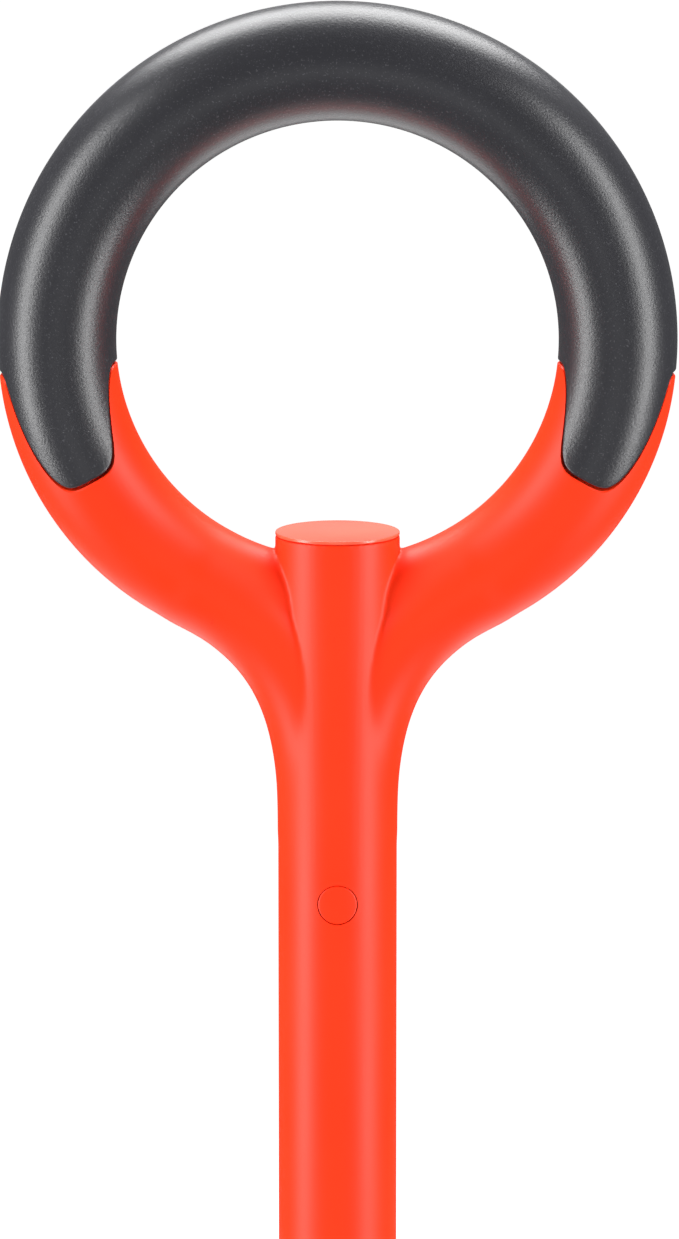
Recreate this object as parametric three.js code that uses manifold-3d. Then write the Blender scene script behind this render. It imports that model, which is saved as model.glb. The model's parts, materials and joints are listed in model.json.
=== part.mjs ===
// Stirrup hoe: a long-handled weeding hoe with a ring handle and a swinging stirrup blade.
//
// Frame: +Z runs up the shaft, the ring lies in the XZ plane and the tool's front is -Y.
// The origin is the crown of the ring's opening, where the tool hangs on a peg.
// Lengths are millimetres and angles are degrees.
import * as THREE from "three";
import { ParametricGeometry } from "three/addons/geometries/ParametricGeometry.js";
import { mergeVertices } from "three/addons/utils/BufferGeometryUtils.js";
import Module from "manifold-3d";

// ---- driving dimensions: whole tool ----
const LENGTH = 1320; // top of the ring to the lowest edge of the blade, tool hanging
const GAP = 0.3; // air between pieces that touch
const BOLT_PLAY = 0.3; // radial play of a bolt or pin in its hole

// ---- ring handle ----
const RING_BORE = 61.8; // radius of the hand opening
const TUBE = 16.6; // radius of the ring's round section
const THIN_FROM = 100; // angle from the crown where the arms start to thin
const THIN_SPAN = 50; // angle over which they lose THINNING of their diameter
const THINNING = 2.75;
const FLATTENING = 0.09; // share of its depth that an arm loses over the same span
const GRIP_WALL = 3.2; // thickness of the soft grip
const LAP_EDGE = 5.1; // how far the grip reaches below the ring's middle at its edges
const LAP_TIP = 28.4; // and at the tip of each tongue
const LAP_MIDDLE = 90.5; // where a tongue's middle lies, round the section from the outside
const LAP_HALF = 51; // half of the tongue's width, round the section
const LAP_SQUARENESS = 4.7; // 2 would make a tongue a bell, and more makes it a slab
const LAP_GROOVE = 0.9; // groove round the grip's edge

// ---- shoulders, boss and shaft ----
const CORE_R = 12.7; // shaft tube
const CORE_WALL = 2.4;
const SKIRT_WALL = 4.1; // from the shaft tube out to the handle's skirt and the shaft jacket
const SHAFT_R = CORE_R + SKIRT_WALL;
const BOSS_R = SHAFT_R + 0.7; // the shaft's top end, which stands up inside the ring
const BOSS_DROP = 54; // ring centre down to the flat top of the boss
const SHOULDER_FROM = 150.5; // angle from the crown where the outline leaves the ring
const SHOULDER_R = 14.4; // radius of the swept shoulder
const SHOULDER_DROP = 139.4; // ring centre down to where the outline meets the shaft
const SHOULDER_PULL = [21.9, 37]; // how far the outline keeps each end's direction
const SKIRT_DROP = 285; // ring centre down to the end of the moulded skirt
const CAP_FLANGE = 1;
const CAP_SPIGOT = 8;
const HANDLE_BOLT_DROP = 157.9; // ring centre down to the bolt that holds the handle on the tube
const HANDLE_BOLT_R = 3;
const HANDLE_NUT_R = 4.3;
const HANDLE_HEAD_R = 5;
const HANDLE_HEAD = 2;
const PLUG_R = 5.5;

// ---- ferrule and neck ----
const FERRULE_LENGTH = 96;
const FERRULE_BEAD = 7; // height of the rolled bead at its top
const FERRULE_BEAD_R = SHAFT_R + 1.4;
const FERRULE_R = CORE_R + 3.5;
const ROD_R = 6.5; // neck and tang
const FERRULE_TIP_R = ROD_R + 3.7;
const FERRULE_NOSE = 26; // length of the cone past the end of the shaft tube
const PIN_R = 3;
const PIN_HEAD_R = 5.4;
const PIN_HEAD = 2.4;
const PIN_DROPS = [24, 52]; // from the ferrule's top
const TANG_LENGTH = 78; // above the end of the shaft tube
const NECK_STRAIGHT = 42; // between the ferrule and the bend
const NECK_BEND = 60; // radius of the bend
const NECK_ANGLE = 40; // between the shaft and the tongue
const NECK_REACH = 72; // end of the bend to the pivot

// ---- tongue, pivot and stop ----
const TONGUE = 8; // thickness
const TONGUE_R = 14; // round end and half width
const FORGED_TO = 37; // pivot up to where the round neck has been forged flat
const FORGED_FROM = 54; // and to where it is still round
const WASHER = 1.4; // wear washers beside the tongue
const WEAR_R = 12;
const BUSH_R = 7;
const PIVOT_R = 5;
const PIVOT_ACROSS = 17; // hex across flats
const PIVOT_HEAD = 6.4;
const PIVOT_NUT = 8;
const PIVOT_WASHER = 2;
const PIVOT_WASHER_R = 10.5;
const STOP_REACH = 24; // pivot to stop bolt
const STOP_R = 3;
const STOP_ACROSS = 10;
const STOP_HEAD = 4;
const STOP_NUT = 5;
const SWING = 12; // the stirrup swings this far each way from the tongue's line

// ---- stirrup ----
const STRIP = 3; // thickness of the strip
const STRIP_WIDTH = 25;
const BLADE_WIDTH = 160; // outside, along the blade
const BLADE_DROP = 110; // pivot to the middle of the blade's thickness
const EAR_RISE = 36; // pivot to the top of the ears
const SHOULDER_IN = 20; // pivot down to the corner where the ears spread
const SHOULDER_OUT = [73, 50]; // half width and drop of the outer corner
const BENDS = { ear: 12, shoulder: 15, blade: 11 }; // bend radii, to the middle of the strip
const BEVEL = 6.5; // width of the ground edge
const EDGE_LAND = 0.5; // thickness left at the cutting edge

// ---- places worked out from the dimensions ----
const RING_Z = -RING_BORE;
const BOSS_Z = RING_Z - BOSS_DROP;
const SKIRT_Z = RING_Z - SKIRT_DROP;
const HANDLE_BOLT_Z = RING_Z - HANDLE_BOLT_DROP;
const REST_ANGLE = NECK_ANGLE - SWING;
const EAR_IN = TONGUE / 2 + GAP + WASHER + GAP; // inside face of an ear
const EAR_OUT = EAR_IN + STRIP;
const bladeLow =
  (BLADE_DROP + STRIP / 2) * cosine(REST_ANGLE) + (STRIP_WIDTH / 2) * sine(REST_ANGLE);
const PIVOT_Z = 2 * TUBE - LENGTH + bladeLow;
const BEND_Z = PIVOT_Z + NECK_REACH * cosine(NECK_ANGLE) + NECK_BEND * sine(NECK_ANGLE);
const PIVOT_Y = -NECK_BEND * (1 - cosine(NECK_ANGLE)) - NECK_REACH * sine(NECK_ANGLE);
const FERRULE_LOW = BEND_Z + NECK_STRAIGHT;
const FERRULE_TOP = FERRULE_LOW + FERRULE_LENGTH;
const CORE_LOW = FERRULE_LOW + FERRULE_NOSE;

// ---- materials ----
const finish = (color, roughness, metalness) =>
  new THREE.MeshStandardMaterial({ color, roughness, metalness });
const FINISHES = {
  moulding: finish(0xf2431f, 0.45, 0),
  cap: finish(0xd9614b, 0.35, 0),
  softGrip: finish(0x3d3b40, 0.6, 0),
  tube: finish(0xa9adb0, 0.4, 1),
  blackSteel: finish(0x2b2d30, 0.5, 0.6),
  blade: finish(0x3a3d40, 0.45, 0.8),
  zinc: finish(0xb9bcbd, 0.35, 1),
  bronze: finish(0xb08048, 0.4, 1),
  nylon: finish(0xd8d4c8, 0.5, 0),
};

// ---- geometry helpers ----
const wasm = await Module();
wasm.setup();

function sine(degrees) {
  return Math.sin(THREE.MathUtils.degToRad(degrees));
}

function cosine(degrees) {
  return Math.cos(THREE.MathUtils.degToRad(degrees));
}

// A closed three.js geometry as a solid that can be cut and joined, turned outside out if need be.
function solid(geometry, matrix = new THREE.Matrix4()) {
  const bare = new THREE.BufferGeometry();
  bare.setAttribute("position", geometry.getAttribute("position").clone());
  bare.setIndex(geometry.index);
  bare.applyMatrix4(matrix);
  const merged = mergeVertices(bare, 1e-4);
  const corners = merged.index.array;
  const sound = [];
  for (let i = 0; i < corners.length; i += 3) {
    const [a, b, c] = corners.slice(i, i + 3);
    if (a !== b && b !== c && c !== a) sound.push(a, b, c);
  }
  const vertProperties = merged.getAttribute("position").array;
  const build = (triangles) =>
    new wasm.Manifold(
      new wasm.Mesh({ numProp: 3, vertProperties, triVerts: new Uint32Array(triangles) }),
    );
  const made = build(sound);
  return made.volume() < 0 ? build(sound.reverse()) : made;
}

function named(name, body, material) {
  const { numProp, vertProperties, triVerts } = body.getMesh();
  const count = vertProperties.length / numProp;
  const places = new Float32Array(count * 3);
  for (let i = 0; i < count; i++) {
    places.set(vertProperties.subarray(i * numProp, i * numProp + 3), i * 3);
  }
  const geometry = new THREE.BufferGeometry();
  geometry.setAttribute("position", new THREE.BufferAttribute(places, 3));
  geometry.setIndex(new THREE.BufferAttribute(triVerts, 1));
  geometry.computeVertexNormals();
  const mesh = new THREE.Mesh(geometry, material);
  mesh.name = name;
  return mesh;
}

// A body of revolution about Z. The profile lists [radius, height] and closes on itself.
function turned(profile, sides = 32) {
  const points = [...profile, profile[0]].map(([r, z]) => new THREE.Vector2(r, z));
  return solid(new THREE.LatheGeometry(points, sides), new THREE.Matrix4().makeRotationX(Math.PI / 2));
}

const ALONG = {
  x: new THREE.Matrix4().makeRotationY(Math.PI / 2),
  y: new THREE.Matrix4().makeRotationX(-Math.PI / 2),
};

// A body of revolution about the X or Y axis, moved by offset. Heights in the profile run along that axis.
function turnedAlong(axis, profile, sides, offset = new THREE.Vector3()) {
  const points = [...profile, profile[0]].map(([r, h]) => new THREE.Vector2(r, h));
  const place = new THREE.Matrix4()
    .makeTranslation(offset)
    .multiply(ALONG[axis])
    .multiply(new THREE.Matrix4().makeRotationX(Math.PI / 2));
  return solid(new THREE.LatheGeometry(points, sides), place);
}

// A round bar or pin between two heights on the X or Y axis, moved by offset.
function bar(axis, radius, from, to, sides = 16, offset) {
  return turnedAlong(axis, [[0, from], [radius, from], [radius, to], [0, to]], sides, offset);
}

// A hexagonal head or nut between two heights on the X or Y axis.
function hex(axis, acrossFlats, from, to, offset) {
  return bar(axis, acrossFlats / Math.sqrt(3), from, to, 6, offset);
}

// A flat plate whose outline is drawn in YZ, spread evenly about the plane X = 0.
function plateX(shape, width, curveSegments = 12) {
  const sheet = new THREE.ExtrudeGeometry(shape, { depth: width, bevelEnabled: false, curveSegments });
  sheet.translate(0, 0, -width / 2);
  const toYZ = new THREE.Matrix4().makeBasis(
    new THREE.Vector3(0, 1, 0),
    new THREE.Vector3(0, 0, 1),
    new THREE.Vector3(1, 0, 0),
  );
  return solid(sheet, toYZ);
}

// A flat plate whose outline is drawn in XZ, spread evenly about the plane Y = 0.
function plateY(shape, width) {
  const sheet = new THREE.ExtrudeGeometry(shape, { depth: width, bevelEnabled: false });
  sheet.translate(0, 0, -width / 2);
  return solid(sheet, new THREE.Matrix4().makeRotationX(Math.PI / 2));
}

// A closed skin that wraps both ways. place(column, row, target) sets one of its points.
function wrappedSkin(columns, rows, place) {
  const point = (u, v, target) =>
    place(Math.round(u * columns) % columns, Math.round(v * rows) % rows, target);
  return solid(new ParametricGeometry(point, columns, rows));
}

// A bar of round section along a plane curve, closed at both ends. Each station has a place, a
// direction and a radius, and side is the unit vector across the curve's plane.
function roundBar(stations, side, sides) {
  const first = { ...stations[0], radius: 0 };
  const last = { ...stations.at(-1), radius: 0 };
  const rings = [first, ...stations, last];
  const point = (u, v, target) => {
    const { at, along, radius } = rings[Math.round(v * (rings.length - 1))];
    const out = new THREE.Vector3().crossVectors(along, side);
    const turn = 360 * (Math.round(u * sides) % sides) / sides;
    target.copy(at).addScaledVector(side, radius * cosine(turn)).addScaledVector(out, radius * sine(turn));
  };
  return solid(new ParametricGeometry(point, sides, rings.length - 1));
}

const union = (...bodies) => bodies.reduce((a, b) => a.add(b));
const cut = (body, ...tools) => tools.reduce((a, b) => a.subtract(b), body);

// ---- ring handle ----
const SECTION_SIDES = 16;
const RING_STEPS = 40;

// How far an arm has thinned at an angle from the crown: 0 above, 1 at the end of the span.
function thinned(angle) {
  return (Math.max(0, angle - THIN_FROM) / THIN_SPAN) ** 2;
}

// Half of the ring's thickness at an angle from the crown.
function tubeRadius(angle) {
  return TUBE - 0.5 * THINNING * thinned(angle);
}

// A point of the ring's skin: angle goes round the ring from the crown, turn goes round the section
// from its outside by way of the front, and depth is measured in from the surface.
function ringPoint(angle, turn, depth, target) {
  const fromCrown = angle > 180 ? 360 - angle : Math.abs(angle);
  const radius = tubeRadius(fromCrown);
  const reach = RING_BORE + radius + (radius - depth) * cosine(turn);
  const half = radius * (1 - FLATTENING * thinned(fromCrown)) - depth;
  target.set(reach * sine(angle), -half * sine(turn), RING_Z + reach * cosine(angle));
}

// The angle from the crown at which the grip ends: a tongue laps down the front and the back.
function gripEnd(turn) {
  const folded = turn > 180 ? 360 - turn : turn;
  const tongue = Math.exp(-((Math.abs(folded - LAP_MIDDLE) / LAP_HALF) ** LAP_SQUARENESS));
  return 90 + LAP_EDGE + (LAP_TIP - LAP_EDGE) * tongue;
}

// The whole ring as a plain skin, at a depth below the finished surface.
function ringBody(depth) {
  return wrappedSkin(SECTION_SIDES, RING_STEPS, (column, row, target) =>
    ringPoint((360 * row) / RING_STEPS, (360 * column) / SECTION_SIDES, depth, target),
  );
}

// The space that the grip takes, thicker than the ring, with its end walls moved on by extra.
function gripSpace(extra) {
  const columns = 2 * SECTION_SIDES;
  const steps = 12;
  const rows = 2 * (steps + 1);
  const further = THREE.MathUtils.radToDeg(extra / (RING_BORE + TUBE));
  return wrappedSkin(columns, rows, (column, row, target) => {
    const turn = (360 * column) / columns;
    const end = gripEnd(turn) + further;
    const outside = row <= steps;
    const share = outside ? row / steps : (rows - 1 - row) / steps;
    ringPoint(end * (2 * share - 1), turn, outside ? -TUBE / 2 : TUBE / 2, target);
  });
}

function ringGrip() {
  return cut(ringBody(0).intersect(gripSpace(0)), ringBody(GRIP_WALL));
}

// The moulding's own ring: a slim core under the grip, full size where it is bare.
function ringFrame() {
  return union(cut(ringBody(0), gripSpace(LAP_GROOVE)), ringBody(GRIP_WALL + GAP));
}

// One shoulder, swept from the ring down into the shaft. mirror is 1 for +X and -1 for -X.
function shoulder(mirror) {
  const reach = RING_BORE + 2 * tubeRadius(SHOULDER_FROM);
  const start = new THREE.Vector3(reach * sine(SHOULDER_FROM), 0, RING_Z + reach * cosine(SHOULDER_FROM));
  const end = new THREE.Vector3(SHAFT_R, 0, RING_Z - SHOULDER_DROP);
  const leaving = new THREE.Vector3(cosine(SHOULDER_FROM), 0, -sine(SHOULDER_FROM));
  const outline = new THREE.CubicBezierCurve3(
    start,
    start.clone().addScaledVector(leaving, SHOULDER_PULL[0]),
    end.clone().add(new THREE.Vector3(0, 0, SHOULDER_PULL[1])),
    end,
  );
  const steps = 14;
  const inset = SHOULDER_R + GAP / 2;
  const stations = Array.from({ length: steps + 1 }, (_, i) => {
    const edge = outline.getPoint(i / steps);
    const heading = outline.getTangent(i / steps);
    const at = new THREE.Vector3(mirror * (edge.x + heading.z * inset), 0, edge.z - heading.x * inset);
    return { at, along: new THREE.Vector3(mirror * heading.x, 0, heading.z), radius: SHOULDER_R };
  });
  return roundBar(stations, new THREE.Vector3(0, 1, 0), SECTION_SIDES);
}

function handleFrame() {
  const seat = BOSS_Z - CAP_FLANGE - GAP;
  const shoulderEnd = RING_Z - SHOULDER_DROP;
  const stem = turned([[0, SKIRT_Z], [SHAFT_R, SKIRT_Z], [SHAFT_R, shoulderEnd], [BOSS_R, seat], [0, seat]]);
  const boreR = CORE_R + GAP;
  const bore = turned([[0, SKIRT_Z - 1], [boreR, SKIRT_Z - 1], [boreR, seat + 1], [0, seat + 1]]);
  const plugHole = bar("y", PLUG_R + GAP, -2 * SHAFT_R, 2 * SHAFT_R, 16, at(0, 0, HANDLE_BOLT_Z));
  return cut(union(ringFrame(), shoulder(1), shoulder(-1), stem), bore, plugHole);
}

function at(x, y, z) {
  return new THREE.Vector3(x, y, z);
}

function hubCap() {
  const low = BOSS_Z - CAP_FLANGE;
  const spigot = low - CAP_SPIGOT;
  return turned([[0, spigot], [CORE_R, spigot], [CORE_R, low], [BOSS_R, low], [BOSS_R, BOSS_Z], [0, BOSS_Z]]);
}

// ---- the bolt that holds the handle on the shaft tube ----
const HEAD_SEAT = CORE_R + GAP; // the heads bear on the tube's outside

function handleBolt() {
  const head = bar("y", HANDLE_HEAD_R, -HEAD_SEAT - HANDLE_HEAD, -HEAD_SEAT);
  return union(head, bar("y", HANDLE_BOLT_R, -HEAD_SEAT - HANDLE_HEAD / 2, CORE_R / 2));
}

function handleNut() {
  const head = bar("y", HANDLE_HEAD_R, HEAD_SEAT, HEAD_SEAT + HANDLE_HEAD);
  const barrel = bar("y", HANDLE_NUT_R, -CORE_R / 4, HEAD_SEAT + HANDLE_HEAD / 2);
  return cut(union(head, barrel), bar("y", HANDLE_BOLT_R + GAP, -CORE_R, CORE_R / 2 + 2));
}

// A plug that fills the hole over a bolt head, flush with the round skirt. side is -1 in front.
function boltPlug(side) {
  const low = HEAD_SEAT + HANDLE_HEAD + GAP;
  const ends = [side * low, side * 2 * SHAFT_R].sort((a, b) => a - b);
  const skirt = turned([[0, -20], [SHAFT_R, -20], [SHAFT_R, 20], [0, 20]]);
  return bar("y", PLUG_R, ...ends).intersect(skirt);
}

// ---- shaft ----
function shaftCore() {
  const top = BOSS_Z - CAP_FLANGE - CAP_SPIGOT - GAP;
  const inner = CORE_R - CORE_WALL;
  const tube = turned([[inner, CORE_LOW], [CORE_R, CORE_LOW], [CORE_R, top], [inner, top]]);
  const boltHole = bar("y", HANDLE_BOLT_R + BOLT_PLAY, -2 * CORE_R, 0, 16, at(0, 0, HANDLE_BOLT_Z));
  const nutHole = bar("y", HANDLE_NUT_R + BOLT_PLAY, 0, 2 * CORE_R, 16, at(0, 0, HANDLE_BOLT_Z));
  return cut(tube, boltHole, nutHole, ...pinHoles());
}

function shaftJacket() {
  const inner = CORE_R + GAP;
  const top = SKIRT_Z - GAP;
  const low = FERRULE_TOP + GAP;
  return turned([[inner, low], [SHAFT_R, low], [SHAFT_R, top], [inner, top]]);
}

// ---- ferrule, tang and neck ----
function pinHoles() {
  return PIN_DROPS.map((drop) =>
    bar("y", PIN_R + BOLT_PLAY, -2 * SHAFT_R, 2 * SHAFT_R, 16, at(0, 0, FERRULE_TOP - drop)),
  );
}

function ferrule() {
  const bore = CORE_R + GAP;
  const tip = ROD_R + GAP;
  const step = CORE_LOW - GAP;
  const body = turned([
    [tip, FERRULE_LOW],
    [FERRULE_TIP_R, FERRULE_LOW],
    [FERRULE_R, CORE_LOW],
    [FERRULE_R, FERRULE_TOP - FERRULE_BEAD],
    [FERRULE_BEAD_R, FERRULE_TOP - 0.75 * FERRULE_BEAD],
    [FERRULE_BEAD_R, FERRULE_TOP - 0.25 * FERRULE_BEAD],
    [SHAFT_R, FERRULE_TOP],
    [bore, FERRULE_TOP],
    [bore, step],
    [tip, step],
  ]);
  return cut(body, ...pinHoles());
}

function ferrulePin() {
  const reach = FERRULE_R + GAP;
  const dome = (side) => [
    [PIN_HEAD_R, side * reach],
    [0.75 * PIN_HEAD_R, side * (reach + 0.7 * PIN_HEAD)],
    [0, side * (reach + PIN_HEAD)],
  ];
  const profile = [...dome(-1).reverse(), [PIN_R, -reach], [PIN_R, reach], ...dome(1)];
  return turnedAlong("y", profile, 20);
}

function tangPlug() {
  const outer = CORE_R - CORE_WALL - GAP;
  const inner = ROD_R + GAP;
  const top = CORE_LOW + TANG_LENGTH;
  return cut(turned([[inner, CORE_LOW], [outer, CORE_LOW], [outer, top], [inner, top]]), ...pinHoles());
}

// The frame whose origin is the pivot and whose -Z points along the tongue or the stirrup.
function headFrame(angle) {
  const turn = new THREE.Matrix4().makeRotationX(THREE.MathUtils.degToRad(-angle));
  return new THREE.Matrix4().makeTranslation(0, PIVOT_Y, PIVOT_Z).multiply(turn);
}

function tongueShape() {
  const shape = new THREE.Shape();
  const neckHalf = ROD_R - 0.5;
  shape.absarc(0, 0, TONGUE_R, Math.PI, 2 * Math.PI);
  shape.lineTo(TONGUE_R, STOP_REACH + 6);
  shape.bezierCurveTo(TONGUE_R, FORGED_TO, neckHalf, FORGED_TO, neckHalf, FORGED_FROM);
  shape.lineTo(-neckHalf, FORGED_FROM);
  shape.bezierCurveTo(-neckHalf, FORGED_TO, -TONGUE_R, FORGED_TO, -TONGUE_R, STOP_REACH + 6);
  return shape;
}

// The tang, the bent round neck and the tongue that its end is forged into, all one bar.
function neck() {
  const frame = headFrame(NECK_ANGLE);
  const down = at(0, 0, -1);
  const along = (angle) => at(0, -sine(angle), -cosine(angle));
  const bendSteps = 8;
  const stations = [{ at: at(0, 0, CORE_LOW + TANG_LENGTH), along: down, radius: ROD_R }];
  for (let i = 0; i <= bendSteps; i++) {
    const angle = (NECK_ANGLE * i) / bendSteps;
    const place = at(0, -NECK_BEND * (1 - cosine(angle)), BEND_Z - NECK_BEND * sine(angle));
    stations.push({ at: place, along: along(angle), radius: ROD_R });
  }
  const toPivot = (reach) => at(0, 0, reach).applyMatrix4(frame);
  stations.push({ at: toPivot(FORGED_FROM), along: along(NECK_ANGLE), radius: ROD_R });
  stations.push({ at: toPivot(FORGED_TO), along: along(NECK_ANGLE), radius: TONGUE / 2 - 0.2 });
  const rod = roundBar(stations, at(1, 0, 0), 16);
  const holes = union(
    bar("x", BUSH_R + BOLT_PLAY, -TONGUE, TONGUE),
    bar("x", STOP_R + BOLT_PLAY, -TONGUE, TONGUE, 20, at(0, 0, STOP_REACH)),
  );
  const tongue = cut(plateX(tongueShape(), TONGUE), holes);
  return cut(union(rod, tongue.transform(frame.elements)), ...pinHoles());
}

// ---- pieces about the pivot, drawn with the pivot as origin ----
function ringWasher(inner, outer, from, to) {
  return turnedAlong("x", [[inner, from], [outer, from], [outer, to], [inner, to]], 24);
}

function wearWasher(side) {
  const near = side * (TONGUE / 2 + GAP);
  const far = side * (TONGUE / 2 + GAP + WASHER);
  return ringWasher(BUSH_R + GAP, WEAR_R, Math.min(near, far), Math.max(near, far));
}

function pivotBush() {
  return ringWasher(PIVOT_R + GAP, BUSH_R, GAP - EAR_IN, EAR_IN - GAP);
}

const WASHER_OUT = EAR_OUT + GAP + PIVOT_WASHER; // outside face of a pivot washer

function pivotWasher(side) {
  const ends = [side * (EAR_OUT + GAP), side * WASHER_OUT].sort((a, b) => a - b);
  return ringWasher(PIVOT_R + GAP, PIVOT_WASHER_R, ...ends);
}

function pivotBolt() {
  const seat = -WASHER_OUT - GAP;
  const end = WASHER_OUT + GAP + PIVOT_NUT + 3;
  return union(hex("x", PIVOT_ACROSS, seat - PIVOT_HEAD, seat), bar("x", PIVOT_R, seat - 1, end));
}

function pivotNut() {
  const seat = WASHER_OUT + GAP;
  const body = hex("x", PIVOT_ACROSS, seat, seat + 0.7 * PIVOT_NUT);
  const collar = bar("x", 0.47 * PIVOT_ACROSS, seat + 1, seat + PIVOT_NUT, 28);
  return cut(union(body, collar), bar("x", PIVOT_R + GAP, 0, seat + 2 * PIVOT_NUT));
}

const STOP_SEAT = EAR_OUT + 2 * GAP; // the stop bolt's head and nut slide past the ears

function stopBolt() {
  const end = STOP_SEAT + STOP_NUT + 2;
  return union(
    hex("x", STOP_ACROSS, -STOP_SEAT - STOP_HEAD, -STOP_SEAT),
    bar("x", STOP_R, -STOP_SEAT - 1, end, 20),
  );
}

function stopNut() {
  const nut = hex("x", STOP_ACROSS, STOP_SEAT, STOP_SEAT + STOP_NUT);
  return cut(nut, bar("x", STOP_R + GAP, 0, STOP_SEAT + 2 * STOP_NUT, 20));
}

// ---- stirrup ----
// A line through corners [x, z, bend radius], each bend sampled as an arc, as points with normals.
function bentLine(corners) {
  const line = [];
  corners.forEach(([x, z, radius], i) => {
    const here = new THREE.Vector2(x, z);
    const before = corners[i - 1] && here.clone().sub(new THREE.Vector2(...corners[i - 1])).normalize();
    const after = corners[i + 1] && new THREE.Vector2(...corners[i + 1]).sub(here).normalize();
    const heading = before ?? after;
    const turn = before && after ? Math.atan2(before.cross(after), before.dot(after)) : 0;
    const setback = (radius ?? 0) * Math.tan(Math.abs(turn) / 2);
    const start = here.clone().addScaledVector(heading, -setback);
    const left = new THREE.Vector2(-heading.y, heading.x).multiplyScalar(Math.sign(turn));
    const centre = start.clone().addScaledVector(left, radius ?? 0);
    const steps = turn ? 6 : 0;
    for (let k = 0; k <= steps; k++) {
      const angle = steps ? (turn * k) / steps : 0;
      const normal = new THREE.Vector2(-heading.y, heading.x).rotateAround(new THREE.Vector2(), angle);
      const place = start.clone().rotateAround(centre, angle);
      line.push({ place, normal });
    }
  });
  return line;
}

function strapShape(corners) {
  const line = bentLine(corners);
  const offset = (side) =>
    line.map(({ place, normal }) => place.clone().addScaledVector(normal, (side * STRIP) / 2));
  return new THREE.Shape([...offset(1), ...offset(-1).reverse()]);
}

// The ears' rounded tops, seen from the side.
function earProfile() {
  const half = STRIP_WIDTH / 2;
  const shape = new THREE.Shape();
  shape.absarc(0, EAR_RISE - half, half, 0, Math.PI);
  shape.lineTo(-half, -2 * BLADE_DROP);
  shape.lineTo(half, -2 * BLADE_DROP);
  return plateX(shape, 2 * BLADE_WIDTH);
}

// The slot that the stop bolt runs in, an arc about the pivot through both ears.
function stopSlot() {
  const half = STOP_R + BOLT_PLAY;
  const reach = THREE.MathUtils.degToRad(SWING) + BOLT_PLAY / STOP_REACH;
  const up = Math.PI / 2;
  const end = (angle) => [STOP_REACH * Math.cos(angle), STOP_REACH * Math.sin(angle), half];
  const shape = new THREE.Shape();
  shape.absarc(0, 0, STOP_REACH + half, up - reach, up + reach);
  shape.absarc(...end(up + reach), up + reach, up + reach + Math.PI);
  shape.absarc(0, 0, STOP_REACH - half, up + reach, up - reach, true);
  shape.absarc(...end(up - reach), up - reach + Math.PI, up - reach + 2 * Math.PI);
  return plateX(shape, 4 * EAR_OUT, 6);
}

// The wedge ground off the blade's upper face along one edge. side is -1 in front.
function bevelCut(side) {
  const edge = side * (STRIP_WIDTH / 2);
  const low = -BLADE_DROP - STRIP / 2;
  const slope = (STRIP - EDGE_LAND) / BEVEL;
  const wedge = new THREE.Shape([
    new THREE.Vector2(edge + side, low + EDGE_LAND - slope),
    new THREE.Vector2(edge - side * (BEVEL + 1), low + STRIP + slope),
    new THREE.Vector2(edge + side, low + STRIP + slope),
  ]);
  return plateX(wedge, BLADE_WIDTH - 2 * (BENDS.blade + STRIP));
}

function stirrup() {
  const ear = (EAR_IN + EAR_OUT) / 2;
  const foot = (BLADE_WIDTH - STRIP) / 2;
  const half = [
    [ear, EAR_RISE],
    [ear, -SHOULDER_IN, BENDS.ear],
    [SHOULDER_OUT[0], -SHOULDER_OUT[1], BENDS.shoulder],
    [foot, -BLADE_DROP, BENDS.blade],
  ];
  const mirrored = half.map(([x, z, r]) => [-x, z, r]).reverse();
  const loop = plateY(strapShape([...half, ...mirrored]), STRIP_WIDTH);
  const boltHole = bar("x", PIVOT_R + BOLT_PLAY, -2 * EAR_OUT, 2 * EAR_OUT);
  return cut(loop.intersect(earProfile()), boltHole, stopSlot(), bevelCut(1), bevelCut(-1));
}

// ---- assembly ----
const hoe = new THREE.Group();

function group(parent, place = new THREE.Matrix4()) {
  const made = new THREE.Group();
  made.applyMatrix4(place);
  parent.add(made);
  return made;
}

hoe.add(named("handle_frame", handleFrame(), FINISHES.moulding));
hoe.add(named("ring_grip", ringGrip(), FINISHES.softGrip));
hoe.add(named("hub_cap", hubCap(), FINISHES.cap));
hoe.add(named("shaft_core", shaftCore(), FINISHES.tube));
hoe.add(named("shaft_jacket", shaftJacket(), FINISHES.moulding));
hoe.add(named("ferrule", ferrule(), FINISHES.blackSteel));
hoe.add(named("tang_plug", tangPlug(), FINISHES.nylon));
hoe.add(named("neck", neck(), FINISHES.blackSteel));

const handleJoint = group(hoe, new THREE.Matrix4().makeTranslation(0, 0, HANDLE_BOLT_Z));
handleJoint.add(named("handle_bolt", handleBolt(), FINISHES.zinc));
handleJoint.add(named("handle_nut", handleNut(), FINISHES.zinc));
handleJoint.add(named("bolt_plug_front", boltPlug(-1), FINISHES.moulding));
handleJoint.add(named("bolt_plug_back", boltPlug(1), FINISHES.moulding));

["upper", "lower"].forEach((level, i) => {
  const place = new THREE.Matrix4().makeTranslation(0, 0, FERRULE_TOP - PIN_DROPS[i]);
  group(hoe, place).add(named(`ferrule_pin_${level}`, ferrulePin(), FINISHES.zinc));
});

const tongueFrame = group(hoe, headFrame(NECK_ANGLE));
tongueFrame.add(named("wear_washer_left", wearWasher(-1), FINISHES.nylon));
tongueFrame.add(named("wear_washer_right", wearWasher(1), FINISHES.nylon));
const stopFrame = group(tongueFrame, new THREE.Matrix4().makeTranslation(0, 0, STOP_REACH));
stopFrame.add(named("stop_bolt", stopBolt(), FINISHES.zinc));
stopFrame.add(named("stop_nut", stopNut(), FINISHES.zinc));

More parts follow.
